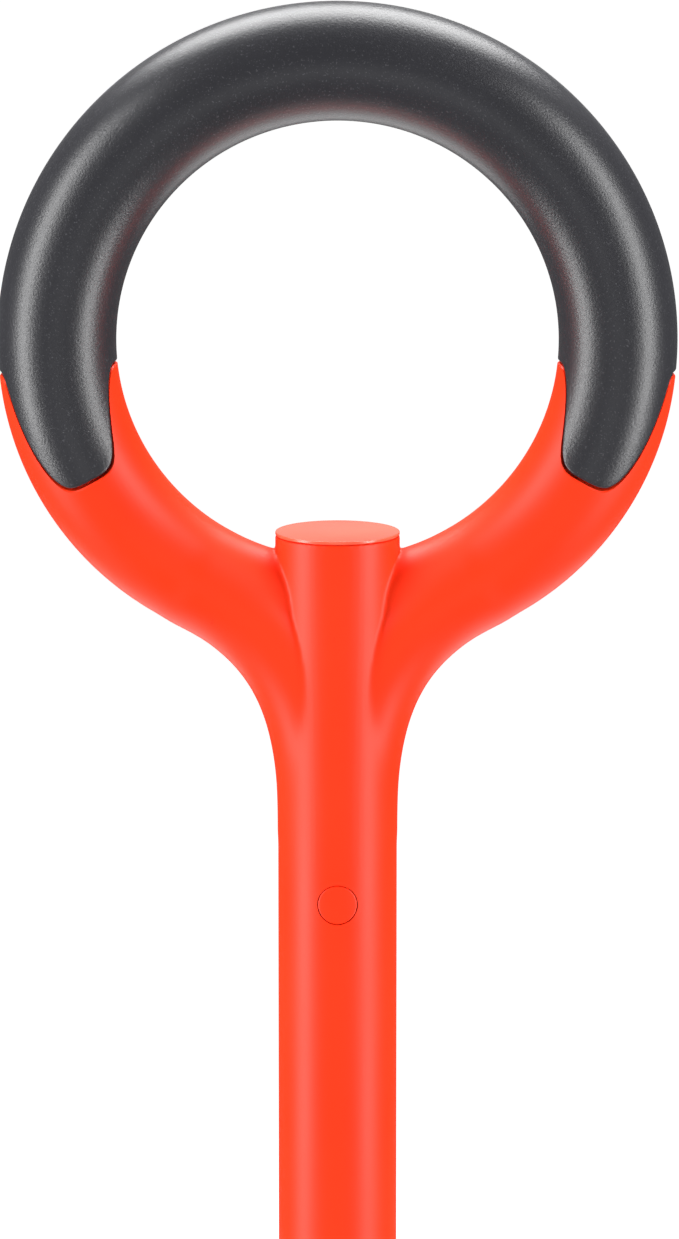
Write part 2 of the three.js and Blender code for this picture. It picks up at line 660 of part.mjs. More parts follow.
const stirrupFrame = group(hoe, headFrame(REST_ANGLE));
stirrupFrame.add(named("stirrup", stirrup(), FINISHES.blade));
stirrupFrame.add(named("pivot_bush", pivotBush(), FINISHES.bronze));
stirrupFrame.add(named("pivot_bolt", pivotBolt(), FINISHES.zinc));
stirrupFrame.add(named("pivot_washer_left", pivotWasher(-1), FINISHES.zinc));
stirrupFrame.add(named("pivot_washer_right", pivotWasher(1), FINISHES.zinc));
stirrupFrame.add(named("pivot_nut", pivotNut(), FINISHES.zinc));

export default hoe;
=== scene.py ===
# %% [markdown]
# # A stirrup hoe, piece by piece
#
# A stirrup hoe is a weeding tool: a sharpened loop of steel swings on a pivot at the end of a long
# shaft, and this one ends at the top in a ring that the hand holds from any side. The measured parts
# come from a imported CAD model. This lesson loads it as a fixed frame and builds a finely shaped and
# finished piece for each part that shows. Everything is in metres, and +Z runs up the shaft.

# %% Load the measured frame
import json
import math

import bmesh
import bpy
import numpy as np
from mathutils import Matrix, Vector
from mathutils.kdtree import KDTree


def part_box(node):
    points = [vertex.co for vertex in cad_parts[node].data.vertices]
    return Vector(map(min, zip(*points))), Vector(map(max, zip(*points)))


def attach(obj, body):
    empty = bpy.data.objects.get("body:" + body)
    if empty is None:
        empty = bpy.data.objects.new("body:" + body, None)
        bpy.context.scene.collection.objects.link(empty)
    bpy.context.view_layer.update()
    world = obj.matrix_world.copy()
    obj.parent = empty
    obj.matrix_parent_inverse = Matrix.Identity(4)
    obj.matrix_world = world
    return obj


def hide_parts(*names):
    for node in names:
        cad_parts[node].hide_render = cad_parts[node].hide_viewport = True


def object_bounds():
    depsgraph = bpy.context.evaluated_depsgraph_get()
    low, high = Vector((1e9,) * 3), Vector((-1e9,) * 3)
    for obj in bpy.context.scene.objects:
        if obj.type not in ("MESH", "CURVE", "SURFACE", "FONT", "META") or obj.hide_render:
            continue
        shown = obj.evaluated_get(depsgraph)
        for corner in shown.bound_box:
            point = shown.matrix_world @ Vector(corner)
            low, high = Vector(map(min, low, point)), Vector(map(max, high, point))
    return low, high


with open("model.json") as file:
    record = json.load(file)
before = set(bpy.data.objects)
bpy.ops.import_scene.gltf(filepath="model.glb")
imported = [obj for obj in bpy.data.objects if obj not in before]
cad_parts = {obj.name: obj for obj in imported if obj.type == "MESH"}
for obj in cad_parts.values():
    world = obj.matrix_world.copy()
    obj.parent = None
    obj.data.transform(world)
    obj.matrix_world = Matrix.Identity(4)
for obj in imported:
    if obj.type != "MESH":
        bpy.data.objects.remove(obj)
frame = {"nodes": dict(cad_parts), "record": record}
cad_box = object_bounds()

print("CAD box, lowest and highest corner:", [list(corner) for corner in cad_box])

# %% [markdown]
# The driving sizes are read off the boxes of the CAD parts, so a piece made here always fits the
# frame. Only shapes that a box can't tell, such as how the arms thin out, are named values, and they
# repeat the ones that the CAD model was drawn with.

# %% Sizes taken from the frame
MM = 0.001


def low(node):
    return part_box(node)[0]


def high(node):
    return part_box(node)[1]


def middle_z(node):
    return (low(node)[2] + high(node)[2]) / 2


TUBE = high("ring_grip")[1]
RING_OUT = high("ring_grip")[0]
BORE = RING_OUT - 2 * TUBE
RING_Z = high("ring_grip")[2] - RING_OUT
BOSS_Z = high("hub_cap")[2]
BOSS_R = high("hub_cap")[0]
SHAFT_R = high("shaft_jacket")[0]
SKIRT_Z = low("handle_frame")[2]
CORE_R = high("shaft_core")[0]
JOINT = frame["record"]["behaviour"]["joints"][0]
PIVOT = Vector(JOINT["pos_m"])
GAP = 0.3 * MM
print(f"ring: {2000 * RING_OUT:.1f} mm outside, {2000 * TUBE:.1f} mm thick; shaft {2000 * SHAFT_R:.1f} mm")

# %% [markdown]
# The camera stands in front of the ring and a little above it, and looks slightly down with a long
# lens, so upright edges stay almost parallel while the flat top of the boss shows as a slim ellipse.
# A small shift of the lens takes out part of the tilt that framing the handle would need.

# %% Camera
CAMERA_DISTANCE = 1.58
CAMERA_RISE = 0.229  # above the ring's centre
CAMERA_TILT = math.radians(9.18)  # below the horizon
LENS = 166  # mm, on a sensor 36 mm tall

camera_data = bpy.data.cameras.new("camera")
camera_data.sensor_width = 36
camera_data.lens = LENS
camera_data.shift_y = -0.15
camera_data.shift_x = 0.0016
camera = bpy.data.objects.new("camera", camera_data)
camera.location = (0, -CAMERA_DISTANCE, RING_Z + CAMERA_RISE)
camera.rotation_euler = (math.pi / 2 - CAMERA_TILT, 0, 0)
bpy.context.collection.objects.link(camera)
bpy.context.scene.camera = camera
height_seen = CAMERA_DISTANCE * 36 / LENS
print(f"the picture covers {height_seen:.3f} m at the tool")

# %% [markdown]
# A studio for a plain product picture is a white sweep and a few large soft lights. The two tall
# lights at the sides draw the pair of long soft highlights that show a round tube as round, and the
# light overhead puts a bright edge on the top of the ring. Weak lights below, behind and in front
# lift what those three leave too dark.

# %% Studio
def linked(obj):
    bpy.context.collection.objects.link(obj)
    return obj


def soft_light(name, place, target, size, power):
    data = bpy.data.lights.new(name, "AREA")
    data.shape = "RECTANGLE"
    data.size, data.size_y = size
    data.energy = power
    lamp = linked(bpy.data.objects.new(name, data))
    lamp.location = place
    lamp.rotation_euler = (Vector(target) - Vector(place)).to_track_quat("-Z", "Y").to_euler()
    lamp.visible_camera = False


FLOOR_Z = cad_box[0][2] - 0.02
HANDLE = (0, 0, RING_Z - 0.1)
soft_light("left_light", (-1.46, -0.62, RING_Z), HANDLE, (0.62, 2.2), 50)
soft_light("right_light", (1.42, -0.78, RING_Z), HANDLE, (0.6, 2.2), 46)
soft_light("top_light", (0, 0.6, RING_Z + 1.3), HANDLE, (1.8, 1.0), 62)
soft_light("under_light", (0, 0.45, RING_Z - 1.1), HANDLE, (1.6, 1.5), 16)
soft_light("back_light", (0, 1.8, RING_Z + 0.3), HANDLE, (1.2, 0.6), 1.0)
soft_light("front_light", (0, -2.6, RING_Z - 0.7), HANDLE, (1.4, 1.0), 4)
bpy.context.scene.view_settings.view_transform = "Standard"

# %% [markdown]
# Node trees are easier to read as sums than as boxes and wires. `Wire` wraps one output socket and
# turns Python's arithmetic into Math nodes, and `Board.add` makes any other node. The same two
# serve the materials and the geometry trees.

# %% Wires and boards
class Wire:
    """One output socket. Arithmetic on it adds Math nodes to its tree."""

    def __init__(self, board, socket):
        self.board = board
        self.socket = socket

    def math(self, operation, *others):
        return self.board.add("ShaderNodeMath", {"operation": operation}, (self, *others))

    def __add__(self, other):
        return self.math("ADD", other)

    def __sub__(self, other):
        return self.math("SUBTRACT", other)

    def __mul__(self, other):
        return self.math("MULTIPLY", other)

    def __truediv__(self, other):
        return self.math("DIVIDE", other)

    def __pow__(self, other):
        return self.math("POWER", other)

    def __radd__(self, other):
        return self.math("ADD", other)

    def __rmul__(self, other):
        return self.math("MULTIPLY", other)

    def __rsub__(self, other):
        return self.board.add("ShaderNodeMath", {"operation": "SUBTRACT"}, (other, self))

    def __rtruediv__(self, other):
        return self.board.add("ShaderNodeMath", {"operation": "DIVIDE"}, (other, self))

    def between(self, start, end):
        """0 below start, 1 above end, and a smooth rise in between."""
        values = {"Value": self, "From Min": start, "From Max": end}
        return self.board.add("ShaderNodeMapRange", {"interpolation_type": "SMOOTHSTEP"}, values)


class Board:
    """A node tree and the one method that adds nodes to it."""

    def __init__(self, tree):
        self.tree = tree

    def add(self, kind, settings=None, values=(), out=0):
        node = self.tree.nodes.new(kind)
        for key, value in (settings or {}).items():
            setattr(node, key, value)
        pairs = values.items() if isinstance(values, dict) else enumerate(values)
        for key, value in pairs:
            socket = node.inputs[key]
            wires = value if isinstance(value, list) else [value]
            if isinstance(wires[0], Wire):
                for wire in wires:
                    self.tree.links.new(wire.socket, socket)
            else:
                socket.default_value = value
        return Wire(self, node.outputs[out]) if node.outputs else node

    def axes(self, vector):
        parts = self.tree.nodes.new("ShaderNodeSeparateXYZ")
        self.tree.links.new(vector.socket, parts.inputs[0])
        return [Wire(self, parts.outputs[i]) for i in range(3)]

    def noise(self, place, scale, detail=2, roughness=0.5, stretch=(1, 1, 1)):
        """Soft random values from 0 to 1, with features about 1/scale metres wide."""
        moved = self.add("ShaderNodeVectorMath", {"operation": "MULTIPLY"}, (place, stretch))
        values = {"Vector": moved, "Scale": scale, "Detail": detail, "Roughness": roughness}
        return self.add("ShaderNodeTexNoise", {}, values)

    def blend(self, factor, first, second):
        """A colour that goes from first to second as factor goes from 0 to 1."""
        return self.add("ShaderNodeMix", {"data_type": "RGBA"}, {0: factor, 6: first, 7: second}, out=2)


def rgb(red, green, blue):
    """A colour as a screen shows it, 0 to 255, as the linear values that Blender's sockets take."""
    linear = [((c / 255 + 0.055) / 1.055) ** 2.4 if c > 10 else c / 3295 for c in (red, green, blue)]
    return (*linear, 1)


print("red at half brightness is", round(rgb(128, 0, 0)[0], 3))

# %% [markdown]
# The room is white where the camera looks straight at it, but dim where the tool mirrors it. Dark
# surroundings are what give a glossy surface its depth.

# %% Room
DIM = 0.08
world = bpy.data.worlds.new("white_room")
world.use_nodes = True
room = Board(world.node_tree)
seen = room.add("ShaderNodeLightPath", {}, (), out="Is Camera Ray")
strength = seen * (1 - DIM) + DIM
background = world.node_tree.nodes["Background"]
background.inputs["Color"].default_value = (1, 1, 1, 1)
world.node_tree.links.new(strength.socket, background.inputs["Strength"])
bpy.context.scene.world = world
print(f"the room lights the tool at {DIM} of its own brightness")

# %% [markdown]
# ## Finishes
#
# Each finish is one short function that returns a material. The pattern comes from noise on Object
# coordinates, so its grain keeps its real size in metres. What is the same all over a piece, such as
# how metallic it is, is set on the shader's own socket.

# %% A helper that starts a finish
def sockets_of(material):
    return material.node_tree.nodes["Principled BSDF"].inputs


def start_finish(name, **uniform):
    material = bpy.data.materials.new(name)
    material.use_nodes = True
    for socket, value in uniform.items():
        sockets_of(material)[socket.replace("_", " ")].default_value = value
    board = Board(material.node_tree)
    return material, board, board.add("ShaderNodeTexCoord", {}, (), out="Object")


def connect(material, **links):
    """Wires the finish to its shader, and returns the material."""
    for socket, wire in links.items():
        material.node_tree.links.new(wire.socket, sockets_of(material)[socket.replace("_", " ")])
    return material


def bump(board, height, depth):
    return board.add("ShaderNodeBump", {}, {"Strength": 1.0, "Distance": depth, "Height": height})


# %% [markdown]
# The handle and the shaft jacket are one kind of red-orange nylon: a fine spark-eroded mould texture,
# a trace of flow marks along the shaft, and small dull scuffs where the tool has been handled.

# %% Red-orange moulding
def moulding_finish():
    material, board, place = start_finish("red_orange_nylon", Specular_IOR_Level=0.26)
    cloud = board.noise(place, 22, 3)
    flow = board.noise(place, 160, 3, 0.6, (1, 1, 0.08))
    grain = board.noise(place, 2600, 2)
    scuff = board.noise(place, 130, 5, 0.7, (1, 1, 0.6)).between(0.66, 0.73)
    tone = board.blend(cloud, rgb(252, 48, 8), rgb(255, 56, 16))
    worn = board.blend(scuff * 0.5, tone, rgb(214, 32, 8))
    roughness = 0.4 + cloud * 0.08 + scuff * 0.12 + flow * 0.04
    height = grain * 0.6 + flow * 0.4
    return connect(material, Base_Color=worn, Roughness=roughness, Normal=bump(board, height, 0.03 * MM))


# %% [markdown]
# The cap is the moulding's red painted lighter and pinker, a painted reflection of the pale room, and it
# is smoother, so it mirrors more of the room.

# %% Cap
def cap_finish():
    material, board, place = start_finish("cap_nylon_painted_reflection", Specular_IOR_Level=0.5)
    cloud = board.noise(place, 60, 3)
    rings = board.noise(place, 1800, 2)
    # The nylon's red lifted to pink: painted reflection of the pale room on the cap's top.
    tone = board.blend(cloud, rgb(248, 84, 58), rgb(252, 96, 70))
    roughness = 0.22 + cloud * 0.06
    return connect(material, Base_Color=tone, Roughness=roughness, Normal=bump(board, rings, 0.01 * MM))


# %% [markdown]
# The grip is a soft elastomer: nearly black, satin, and speckled with the tiny light points that
# its textured skin catches.

# %% Soft grip
def grip_finish():
    material, board, place = start_finish(
        "soft_grip_elastomer", Specular_IOR_Level=0.5, Sheen_Weight=0.03, Sheen_Roughness=0.5
    )
    cloud = board.noise(place, 40, 3)
    grain = board.noise(place, 1500, 3, 0.6)
    speck = board.noise(place, 2100, 1).between(0.64, 0.72)
    tone = board.blend(cloud, rgb(36, 36, 40), rgb(44, 44, 48))
    specked = board.blend(speck * 0.4, tone, rgb(96, 96, 100))
    roughness = 0.28 + grain * 0.12
    return connect(material, Base_Color=specked, Roughness=roughness, Normal=bump(board, grain, 0.08 * MM))


# %% [markdown]
# The steel parts of the head are powder coated. The coat has the shallow orange-peel skin that powder
# leaves as it melts, and it has chipped in a few places to bare steel.

# %% Powder coat
COAT = rgb(38, 39, 42), rgb(50, 51, 54)


def powder_coat_finish():
    material, board, place = start_finish("charcoal_powder_coat")
    peel = board.noise(place, 700, 2)
    fine = board.noise(place, 3000, 2)
    chip = board.noise(place, 120, 6, 0.75).between(0.69, 0.7)
    tone = board.blend(peel, *COAT)
    chipped = board.blend(chip, tone, rgb(150, 152, 155))
    roughness = 0.42 + fine * 0.12
    return connect(
        material,
        Base_Color=chipped,
        Metallic=chip * 0.9,
        Roughness=roughness,
        Normal=bump(board, peel * 0.8 + fine * 0.2 - chip * 0.6, 0.06 * MM),
    )


# %% [markdown]
# The stirrup is coated too, except where it was ground. The mesh carries a number called `ground`
# at each point, 1 on the bevels and 0 on the coat, and the finish follows it: bright steel with
# grinding marks that run across the edge, wearing into the coat along a ragged line.

# %% Coated strip with ground edges
def stirrup_finish():
    material, board, place = start_finish("coated_strip_ground_edges")
    ground = board.add("ShaderNodeAttribute", {"attribute_name": "ground"}, (), out="Fac")
    ragged = board.noise(place, 500, 4, 0.7)
    bare = (ground + (ragged - 0.5) * 0.5).between(0.42, 0.52)
    peel = board.noise(place, 700, 2)
    marks = board.noise(place, 900, 4, 0.7, (1, 0.06, 0.06))
    coat = board.blend(peel, *COAT)
    steel = board.blend(marks, rgb(112, 114, 118), rgb(158, 160, 163))
    roughness = (1 - bare) * 0.45 + bare * (0.36 + marks * 0.16)
    height = (1 - bare) * peel + bare * (marks * 0.5 - 0.5)
    return connect(
        material,
        Base_Color=board.blend(bare, coat, steel),
        Metallic=bare,
        Roughness=roughness,
        Normal=bump(board, height, 0.05 * MM),
    )


# %% [markdown]
# Fasteners are zinc plated, the bush is sintered bronze, the washers and the tang's sleeve are plain
# nylon, and the shaft's tube is drawn steel. Each is a metal or a plastic with its own grain.

# %% Small metals and nylon
def metal_finish(name, dark, light, roughness, grain_scale, stretch=(1, 1, 1)):
    material, board, place = start_finish(name, Metallic=1.0)
    cloud = board.noise(place, 260, 4, 0.6)
    grain = board.noise(place, grain_scale, 3, 0.6, stretch)
    tone = board.blend(cloud, rgb(*dark), rgb(*light))
    rough = roughness + cloud * 0.12 + grain * 0.08
    return connect(material, Base_Color=tone, Roughness=rough, Normal=bump(board, grain, 0.02 * MM))


def nylon_finish():
    material, board, place = start_finish("natural_nylon", Subsurface_Weight=0.08)
    cloud = board.noise(place, 200, 3)
    grain = board.noise(place, 2400, 2)
    tone = board.blend(cloud, rgb(214, 208, 194), rgb(228, 224, 212))
    roughness = 0.45 + grain * 0.1
    return connect(material, Base_Color=tone, Roughness=roughness, Normal=bump(board, grain, 0.02 * MM))


FINISHES = {
    "moulding": moulding_finish(),
    "cap": cap_finish(),
    "soft_grip": grip_finish(),
    "black_steel": powder_coat_finish(),
    "blade": stirrup_finish(),
    "zinc": metal_finish("zinc_plate", (128, 132, 138), (164, 167, 172), 0.38, 1600),
    "bronze": metal_finish("sintered_bronze", (150, 104, 60), (186, 136, 84), 0.36, 2600),
    "shaft_tube": metal_finish("drawn_steel", (140, 143, 146), (176, 178, 180), 0.3, 1400, (1, 1, 0.02)),
    "nylon": nylon_finish(),
}
print(len(FINISHES), "finishes")

# %% [markdown]
# The floor is a plain pale sweep with lights of its own, so it shows white but doesn't light the
# tool. It isn't part of the tool.

# %% Floor
def make_floor():
    material, board, place = start_finish("pale_floor", Emission_Strength=1.0)
    cloud = board.noise(place, 3, 2)
    tone = board.blend(cloud, (0.95, 0.95, 0.95, 1), (0.97, 0.97, 0.97, 1))
    roughness = 0.85 + cloud * 0.1
    connect(material, Base_Color=tone, Roughness=roughness, Emission_Color=tone)
    half = 30
    corners = [(x * half, y * half, FLOOR_Z) for x, y in ((-1, -1), (1, -1), (1, 1), (-1, 1))]
    mesh = bpy.data.meshes.new("floor")
    mesh.from_pydata(corners, [], [(0, 1, 2, 3)])
    mesh.materials.append(material)
    floor = linked(bpy.data.objects.new("floor", mesh))
    floor.visible_glossy = False
    floor.visible_diffuse = False


make_floor()

# %% [markdown]
# ## Ways to make a mesh
#
# Most of this tool is turned, swept or skinned, so three helpers make most of its meshes: a skin laid
# over a grid of points, a body of revolution, and a cut of one closed mesh by another.

# %% Mesh helpers
def mesh_from(name, points, faces):
    mesh = bpy.data.meshes.new(name)
    mesh.from_pydata([tuple(p) for p in points], [], [tuple(f) for f in faces])
    mesh.update()
    return mesh


def skin(name, grid, wrap_rows=False, cap_ends=False):
    """A skin over grid[row][column], an array of points. Columns always wrap round.
    Rows either wrap too, or end in a flat fan at each end."""
    rows, columns = grid.shape[:2]
    points = list(grid.reshape(-1, 3))
    faces = []
    for i in range(rows if wrap_rows else rows - 1):
        for j in range(columns):
            here, above = i * columns, ((i + 1) % rows) * columns
            beside = (j + 1) % columns
            faces.append((here + j, here + beside, above + beside, above + j))
    if cap_ends:
        faces.append(tuple(range(columns))[::-1])
        faces.append(tuple((rows - 1) * columns + j for j in range(columns)))
    mesh = mesh_from(name, points, faces)
    return facing_out(mesh)


def facing_out(mesh):
    """Merges doubles and turns every face outwards."""
    work = bmesh.new()
    work.from_mesh(mesh)
    bmesh.ops.remove_doubles(work, verts=work.verts, dist=1e-7)
    bmesh.ops.dissolve_degenerate(work, edges=work.edges, dist=1e-8)
    bmesh.ops.recalc_face_normals(work, faces=work.faces)
    if work.calc_volume(signed=True) < 0:
        bmesh.ops.reverse_faces(work, faces=work.faces)
    work.to_mesh(mesh)
    work.free()
    return mesh


AXES = {
    "x": Matrix(((0, 0, 1), (1, 0, 0), (0, 1, 0))).to_4x4(),
    "y": Matrix(((0, 1, 0), (0, 0, 1), (1, 0, 0))).to_4x4(),
    "z": Matrix.Identity(4),
}


def turned(name, profile, sides=96, axis="z", place=(0, 0, 0)):
    """A body of revolution. The profile lists (radius, height) and closes on itself."""
    angles = np.linspace(0, 2 * np.pi, sides, endpoint=False)
    grid = [[(r * np.cos(a), r * np.sin(a), h) for a in angles] for r, h in profile]
    mesh = skin(name, np.array(grid), wrap_rows=True)
    mesh.transform(Matrix.Translation(place) @ AXES[axis])
    return mesh


def rounded(profile, radius, steps=4):
    """The same closed profile with each corner cut by a small arc, or fewer where a side is short.
    Corners on the axis stay sharp."""
    softened = []
    count = len(profile)
    for i, corner in enumerate(profile):
        here = Vector(corner)
        before = Vector(profile[i - 1]) - here
        after = Vector(profile[(i + 1) % count]) - here
        reach = min(radius, 0.45 * before.length, 0.45 * after.length)
        if here.x < 1e-6 or reach < 1e-6:
            softened.append(tuple(here))
            continue
        start = here + before.normalized() * reach
        end = here + after.normalized() * reach
        for k in range(steps + 1):
            t = k / steps
            softened.append(tuple((1 - t) ** 2 * start + 2 * t * (1 - t) * here + t**2 * end))
    return softened


def boolean(mesh, tool, operation="DIFFERENCE"):
    """mesh cut by, joined with or limited to tool, as a new mesh."""
    body = linked(bpy.data.objects.new("work", mesh))
    knife = linked(bpy.data.objects.new("tool", tool))
    cutter = body.modifiers.new("cut", "BOOLEAN")
    cutter.operation = operation
    cutter.solver = "MANIFOLD"
    cutter.object = knife
    result = evaluated(body)
    for used in (body, knife):
        bpy.data.objects.remove(used)
    if not len(result.polygons):
        raise RuntimeError(f"{operation} of {mesh.name} by {tool.name} left nothing")
    return result


def evaluated(obj):
    """The object's final mesh, with its modifiers worked in."""
    graph = bpy.context.evaluated_depsgraph_get()
    graph.update()
    return bpy.data.meshes.new_from_object(obj.evaluated_get(graph), depsgraph=graph)


def piece(name, mesh, stands_for, sharp=32):
    """Links a finished mesh as an object that stands for CAD nodes and takes their body and finish."""
    nodes = [stands_for] if isinstance(stands_for, str) else list(stands_for)
    record = frame["record"]
    material_slot = next(s["material_slot"] for s in record["subparts"] if s["node"] == nodes[0])
    body = next(b for b, members in record["behaviour"]["bodies"].items() if nodes[0] in members)
    mesh.name = name
    mesh.materials.clear()
    mesh.materials.append(FINISHES[material_slot])
    mesh.shade_smooth()
    mesh.set_sharp_from_angle(angle=math.radians(sharp))
    obj = linked(bpy.data.objects.new(name, mesh))
    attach(obj, body)
    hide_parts(*nodes)
    print(f"{name}: {len(mesh.polygons)} faces on {body}")

# %% [markdown]
# ## The handle moulding
#
# Ring, shoulders and boss flow into each other, which no turned or swept mesh can do by itself. But
# the shape follows a rule: each part is all the points within some distance of a line. So a Geometry
# Nodes tree works out, at every point of a fine grid, the distance to the nearest surface, blends
# those distances with a smooth minimum, and draws the skin where the distance is zero. The blend
# radius is the fillet that the mould maker would have cut.

# %% Shape of the ring and its arms
THIN_FROM = 100  # degrees from the crown, where the arms start to thin
THIN_SPAN = 50
THINNING = 2.75 * MM
FLATTENING = 0.09  # share of its depth that an arm loses over the same span
GRIP_WALL = 3.2 * MM
CORE_WALL = GRIP_WALL + GAP
LAP_EDGE = 5.1  # degrees below the ring's middle, where the grip ends at its edges
LAP_TIP = 28.4  # and at the tip of its tongues
LAP_MIDDLE = 90.5  # degrees round the section, the middle of a tongue
LAP_HALF = 51
LAP_SQUARENESS = 4.7
GROOVE = 0.8 * MM
SHOULDER_FROM = 150.5
SHOULDER_R = 14.4 * MM
SHOULDER_DROP = 139.4 * MM
SHOULDER_PULL = (21.9 * MM, 37 * MM)
SHOULDER_INSET = 0.05 * MM
LOW_SEAT = BOSS_Z - 1.05 * MM  # the boss's own top, a hair under the cap's flange
STEM_CUT = 146 * MM  # ring centre down to where the turned skirt takes over


def all_round(columns):
    """Even angles round a section, in degrees."""
    return np.arange(columns) * 360 / columns


def thinned(angle):
    """How far an arm has thinned: 0 above, 1 at the end of the span."""
    return (np.maximum(0, angle - THIN_FROM) / THIN_SPAN) ** 2


def tube_radius(angle):
    return TUBE - 0.5 * THINNING * thinned(angle)


def ring_point(angle, turn, depth):
    """A point of the ring: angle goes round the ring from its crown and turn round its section from
    the outside by way of the front, both in degrees, and depth is measured in from the surface."""
    radius = tube_radius(np.abs(angle))
    reach = BORE + radius + (radius - depth) * np.cos(np.radians(turn))
    around = np.radians(angle)
    half = radius * (1 - FLATTENING * thinned(np.abs(angle))) - depth
    away = -half * np.sin(np.radians(turn))
    return np.stack([reach * np.sin(around), away, RING_Z + reach * np.cos(around)], axis=-1)


def grip_end(turn):
    """The angle from the crown at which the grip ends, with a tongue in front and one at the back."""
    folded = np.minimum(turn % 360, 360 - turn % 360)
    tongue = np.exp(-((np.abs(folded - LAP_MIDDLE) / LAP_HALF) ** LAP_SQUARENESS))
    return 90 + LAP_EDGE + (LAP_TIP - LAP_EDGE) * tongue


def shoulder_line(mirror, steps=40):
    """The middle of one shoulder, set in from the outline that sweeps from the ring to the shaft."""
    reach = BORE + 2 * tube_radius(SHOULDER_FROM)
    a = math.radians(SHOULDER_FROM)
    start = Vector((reach * math.sin(a), RING_Z + reach * math.cos(a)))
    end = Vector((SHAFT_R, RING_Z - SHOULDER_DROP))
    first = start + Vector((math.cos(a), -math.sin(a))) * SHOULDER_PULL[0]
    second = end + Vector((0, SHOULDER_PULL[1]))
    inset = SHOULDER_R + SHOULDER_INSET
    line = []
    for step in range(steps + 1):
        t = step / steps
        s = 1 - t
        edge = s**3 * start + 3 * s * s * t * first + 3 * s * t * t * second + t**3 * end
        heading = s * s * (first - start) + 2 * s * t * (second - first) + t * t * (end - second)
        heading.normalize()
        line.append((mirror * (edge.x + heading.y * inset), 0, edge.y - heading.x * inset))
    return line


right_shoulder = shoulder_line(1)
print(f"a shoulder runs from x {right_shoulder[0][0] / MM:.1f} to x {right_shoulder[-1][0] / MM:.1f} mm")

# %% [markdown]
# Every Geometry Nodes tree here is opened, closed and run the same way. It ends by making instances
# real and setting the material, and its sizes are named inputs that are set on the modifier.

# %% Trees with named inputs
def open_tree(name, *floats, takes_mesh=False):
    """A new geometry tree and its inputs by name. Each of floats is a length in metres."""
    tree = bpy.data.node_groups.new(name, "GeometryNodeTree")
    if takes_mesh:
        tree.interface.new_socket("Geometry", in_out="INPUT", socket_type="NodeSocketGeometry")
    for label in floats:
        tree.interface.new_socket(label, in_out="INPUT", socket_type="NodeSocketFloat")
    tree.interface.new_socket("Geometry", in_out="OUTPUT", socket_type="NodeSocketGeometry")
    board = Board(tree)
    inputs = tree.nodes.new("NodeGroupInput")
    return board, {socket.name: Wire(board, socket) for socket in inputs.outputs if socket.name}


def close_tree(board, shape, finish):
    real = board.add("GeometryNodeRealizeInstances", {}, (shape,))
    values = {"Geometry": real, "Material": FINISHES[finish]}
    done = board.add("GeometryNodeSetMaterial", {}, values)
    outputs = board.tree.nodes.new("NodeGroupOutput")
    board.tree.links.new(done.socket, outputs.inputs[0])
    return board.tree


def grown_mesh(name, mesh, tree, sizes):
    """mesh run through a tree, as a plain mesh. sizes go to the tree's float inputs, in order."""
    host = linked(bpy.data.objects.new(name, mesh))
    modifier = host.modifiers.new(name, "NODES")
    modifier.node_group = tree
    inputs = [item for item in tree.interface.items_tree if item.in_out == "INPUT"]
    floats = [item for item in inputs if item.socket_type == "NodeSocketFloat"]
    for item, size in zip(floats, sizes, strict=True):
        modifier[item.identifier] = size
    result = evaluated(host)
    bpy.data.objects.remove(host)
    return result

# %% [markdown]
# The tree takes the two shoulder lines as its input mesh, because a Geometry Proximity node can tell
# the distance to any line. The ring and the boss have formulas of their own.

# %% The field tree
FIELD_SIZES = {
    "Voxel": 0.68 * MM,
    "Shoulder Radius": SHOULDER_R,
    "Shoulder Blend": 2.5 * MM,
    "Boss Blend": 1.1 * MM,
    "Boss Radius": BOSS_R,
    "Shaft Radius": SHAFT_R,
}
FIELD_MARGIN = 3 * MM
SEAT_EDGE = 0.3 * MM


def field_tree():
    board, given = open_tree("handle_field", *FIELD_SIZES, takes_mesh=True)
    x, y, z = board.axes(board.add("GeometryNodeInputPosition"))
    z = z - RING_Z

    across = (x * x + z * z) ** 0.5
    angle = (z / across).math("ARCCOSINE").math("DEGREES")
    below = (angle - THIN_FROM).math("MAXIMUM", 0) / THIN_SPAN
    thin = below * below
    radius = TUBE - thin * (0.5 * THINNING)
    off_line = across - radius - BORE
    deep = y / (1 - thin * FLATTENING)
    ring = (off_line * off_line + deep * deep) ** 0.5 - radius

    lines = given["Geometry"]
    shoulders = board.add("GeometryNodeProximity", {"target_element": "EDGES"}, (lines,), out="Distance")
    shoulders = shoulders - given["Shoulder Radius"]

    seat = LOW_SEAT - RING_Z
    rise = (z + SHOULDER_DROP) / (seat + SHOULDER_DROP)
    widening = given["Boss Radius"] - given["Shaft Radius"]
    stem_radius = given["Shaft Radius"] + rise.between(0, 1) * widening
    stem = (x * x + y * y) ** 0.5 - stem_radius
    stem = stem.math("SMOOTH_MAX", z - seat, SEAT_EDGE)

    arms = ring.math("SMOOTH_MIN", shoulders, given["Shoulder Blend"])
    whole = arms.math("SMOOTH_MIN", stem, given["Boss Blend"])

    field_low = (-RING_OUT - 2 * MM, -SHAFT_R - FIELD_MARGIN, RING_Z - STEM_CUT - FIELD_MARGIN)
    field_high = (RING_OUT + 2 * MM, SHAFT_R + FIELD_MARGIN, RING_Z - 1.5 * MM)
    values = {"Density": whole * -1000, "Background": -1.0, "Min": field_low, "Max": field_high}
    for axis, start, end in zip("XYZ", field_low, field_high):
        count = board.add("FunctionNodeFloatToInt", {}, ((end - start) / given["Voxel"],))
        values["Resolution " + axis] = count
    cloud = board.add("GeometryNodeVolumeCube", {}, values)
    values = {"Volume": cloud, "Threshold": 0.0}
    drawn = board.add("GeometryNodeVolumeToMesh", {"resolution_mode": "GRID"}, values)
    return close_tree(board, drawn, "moulding")


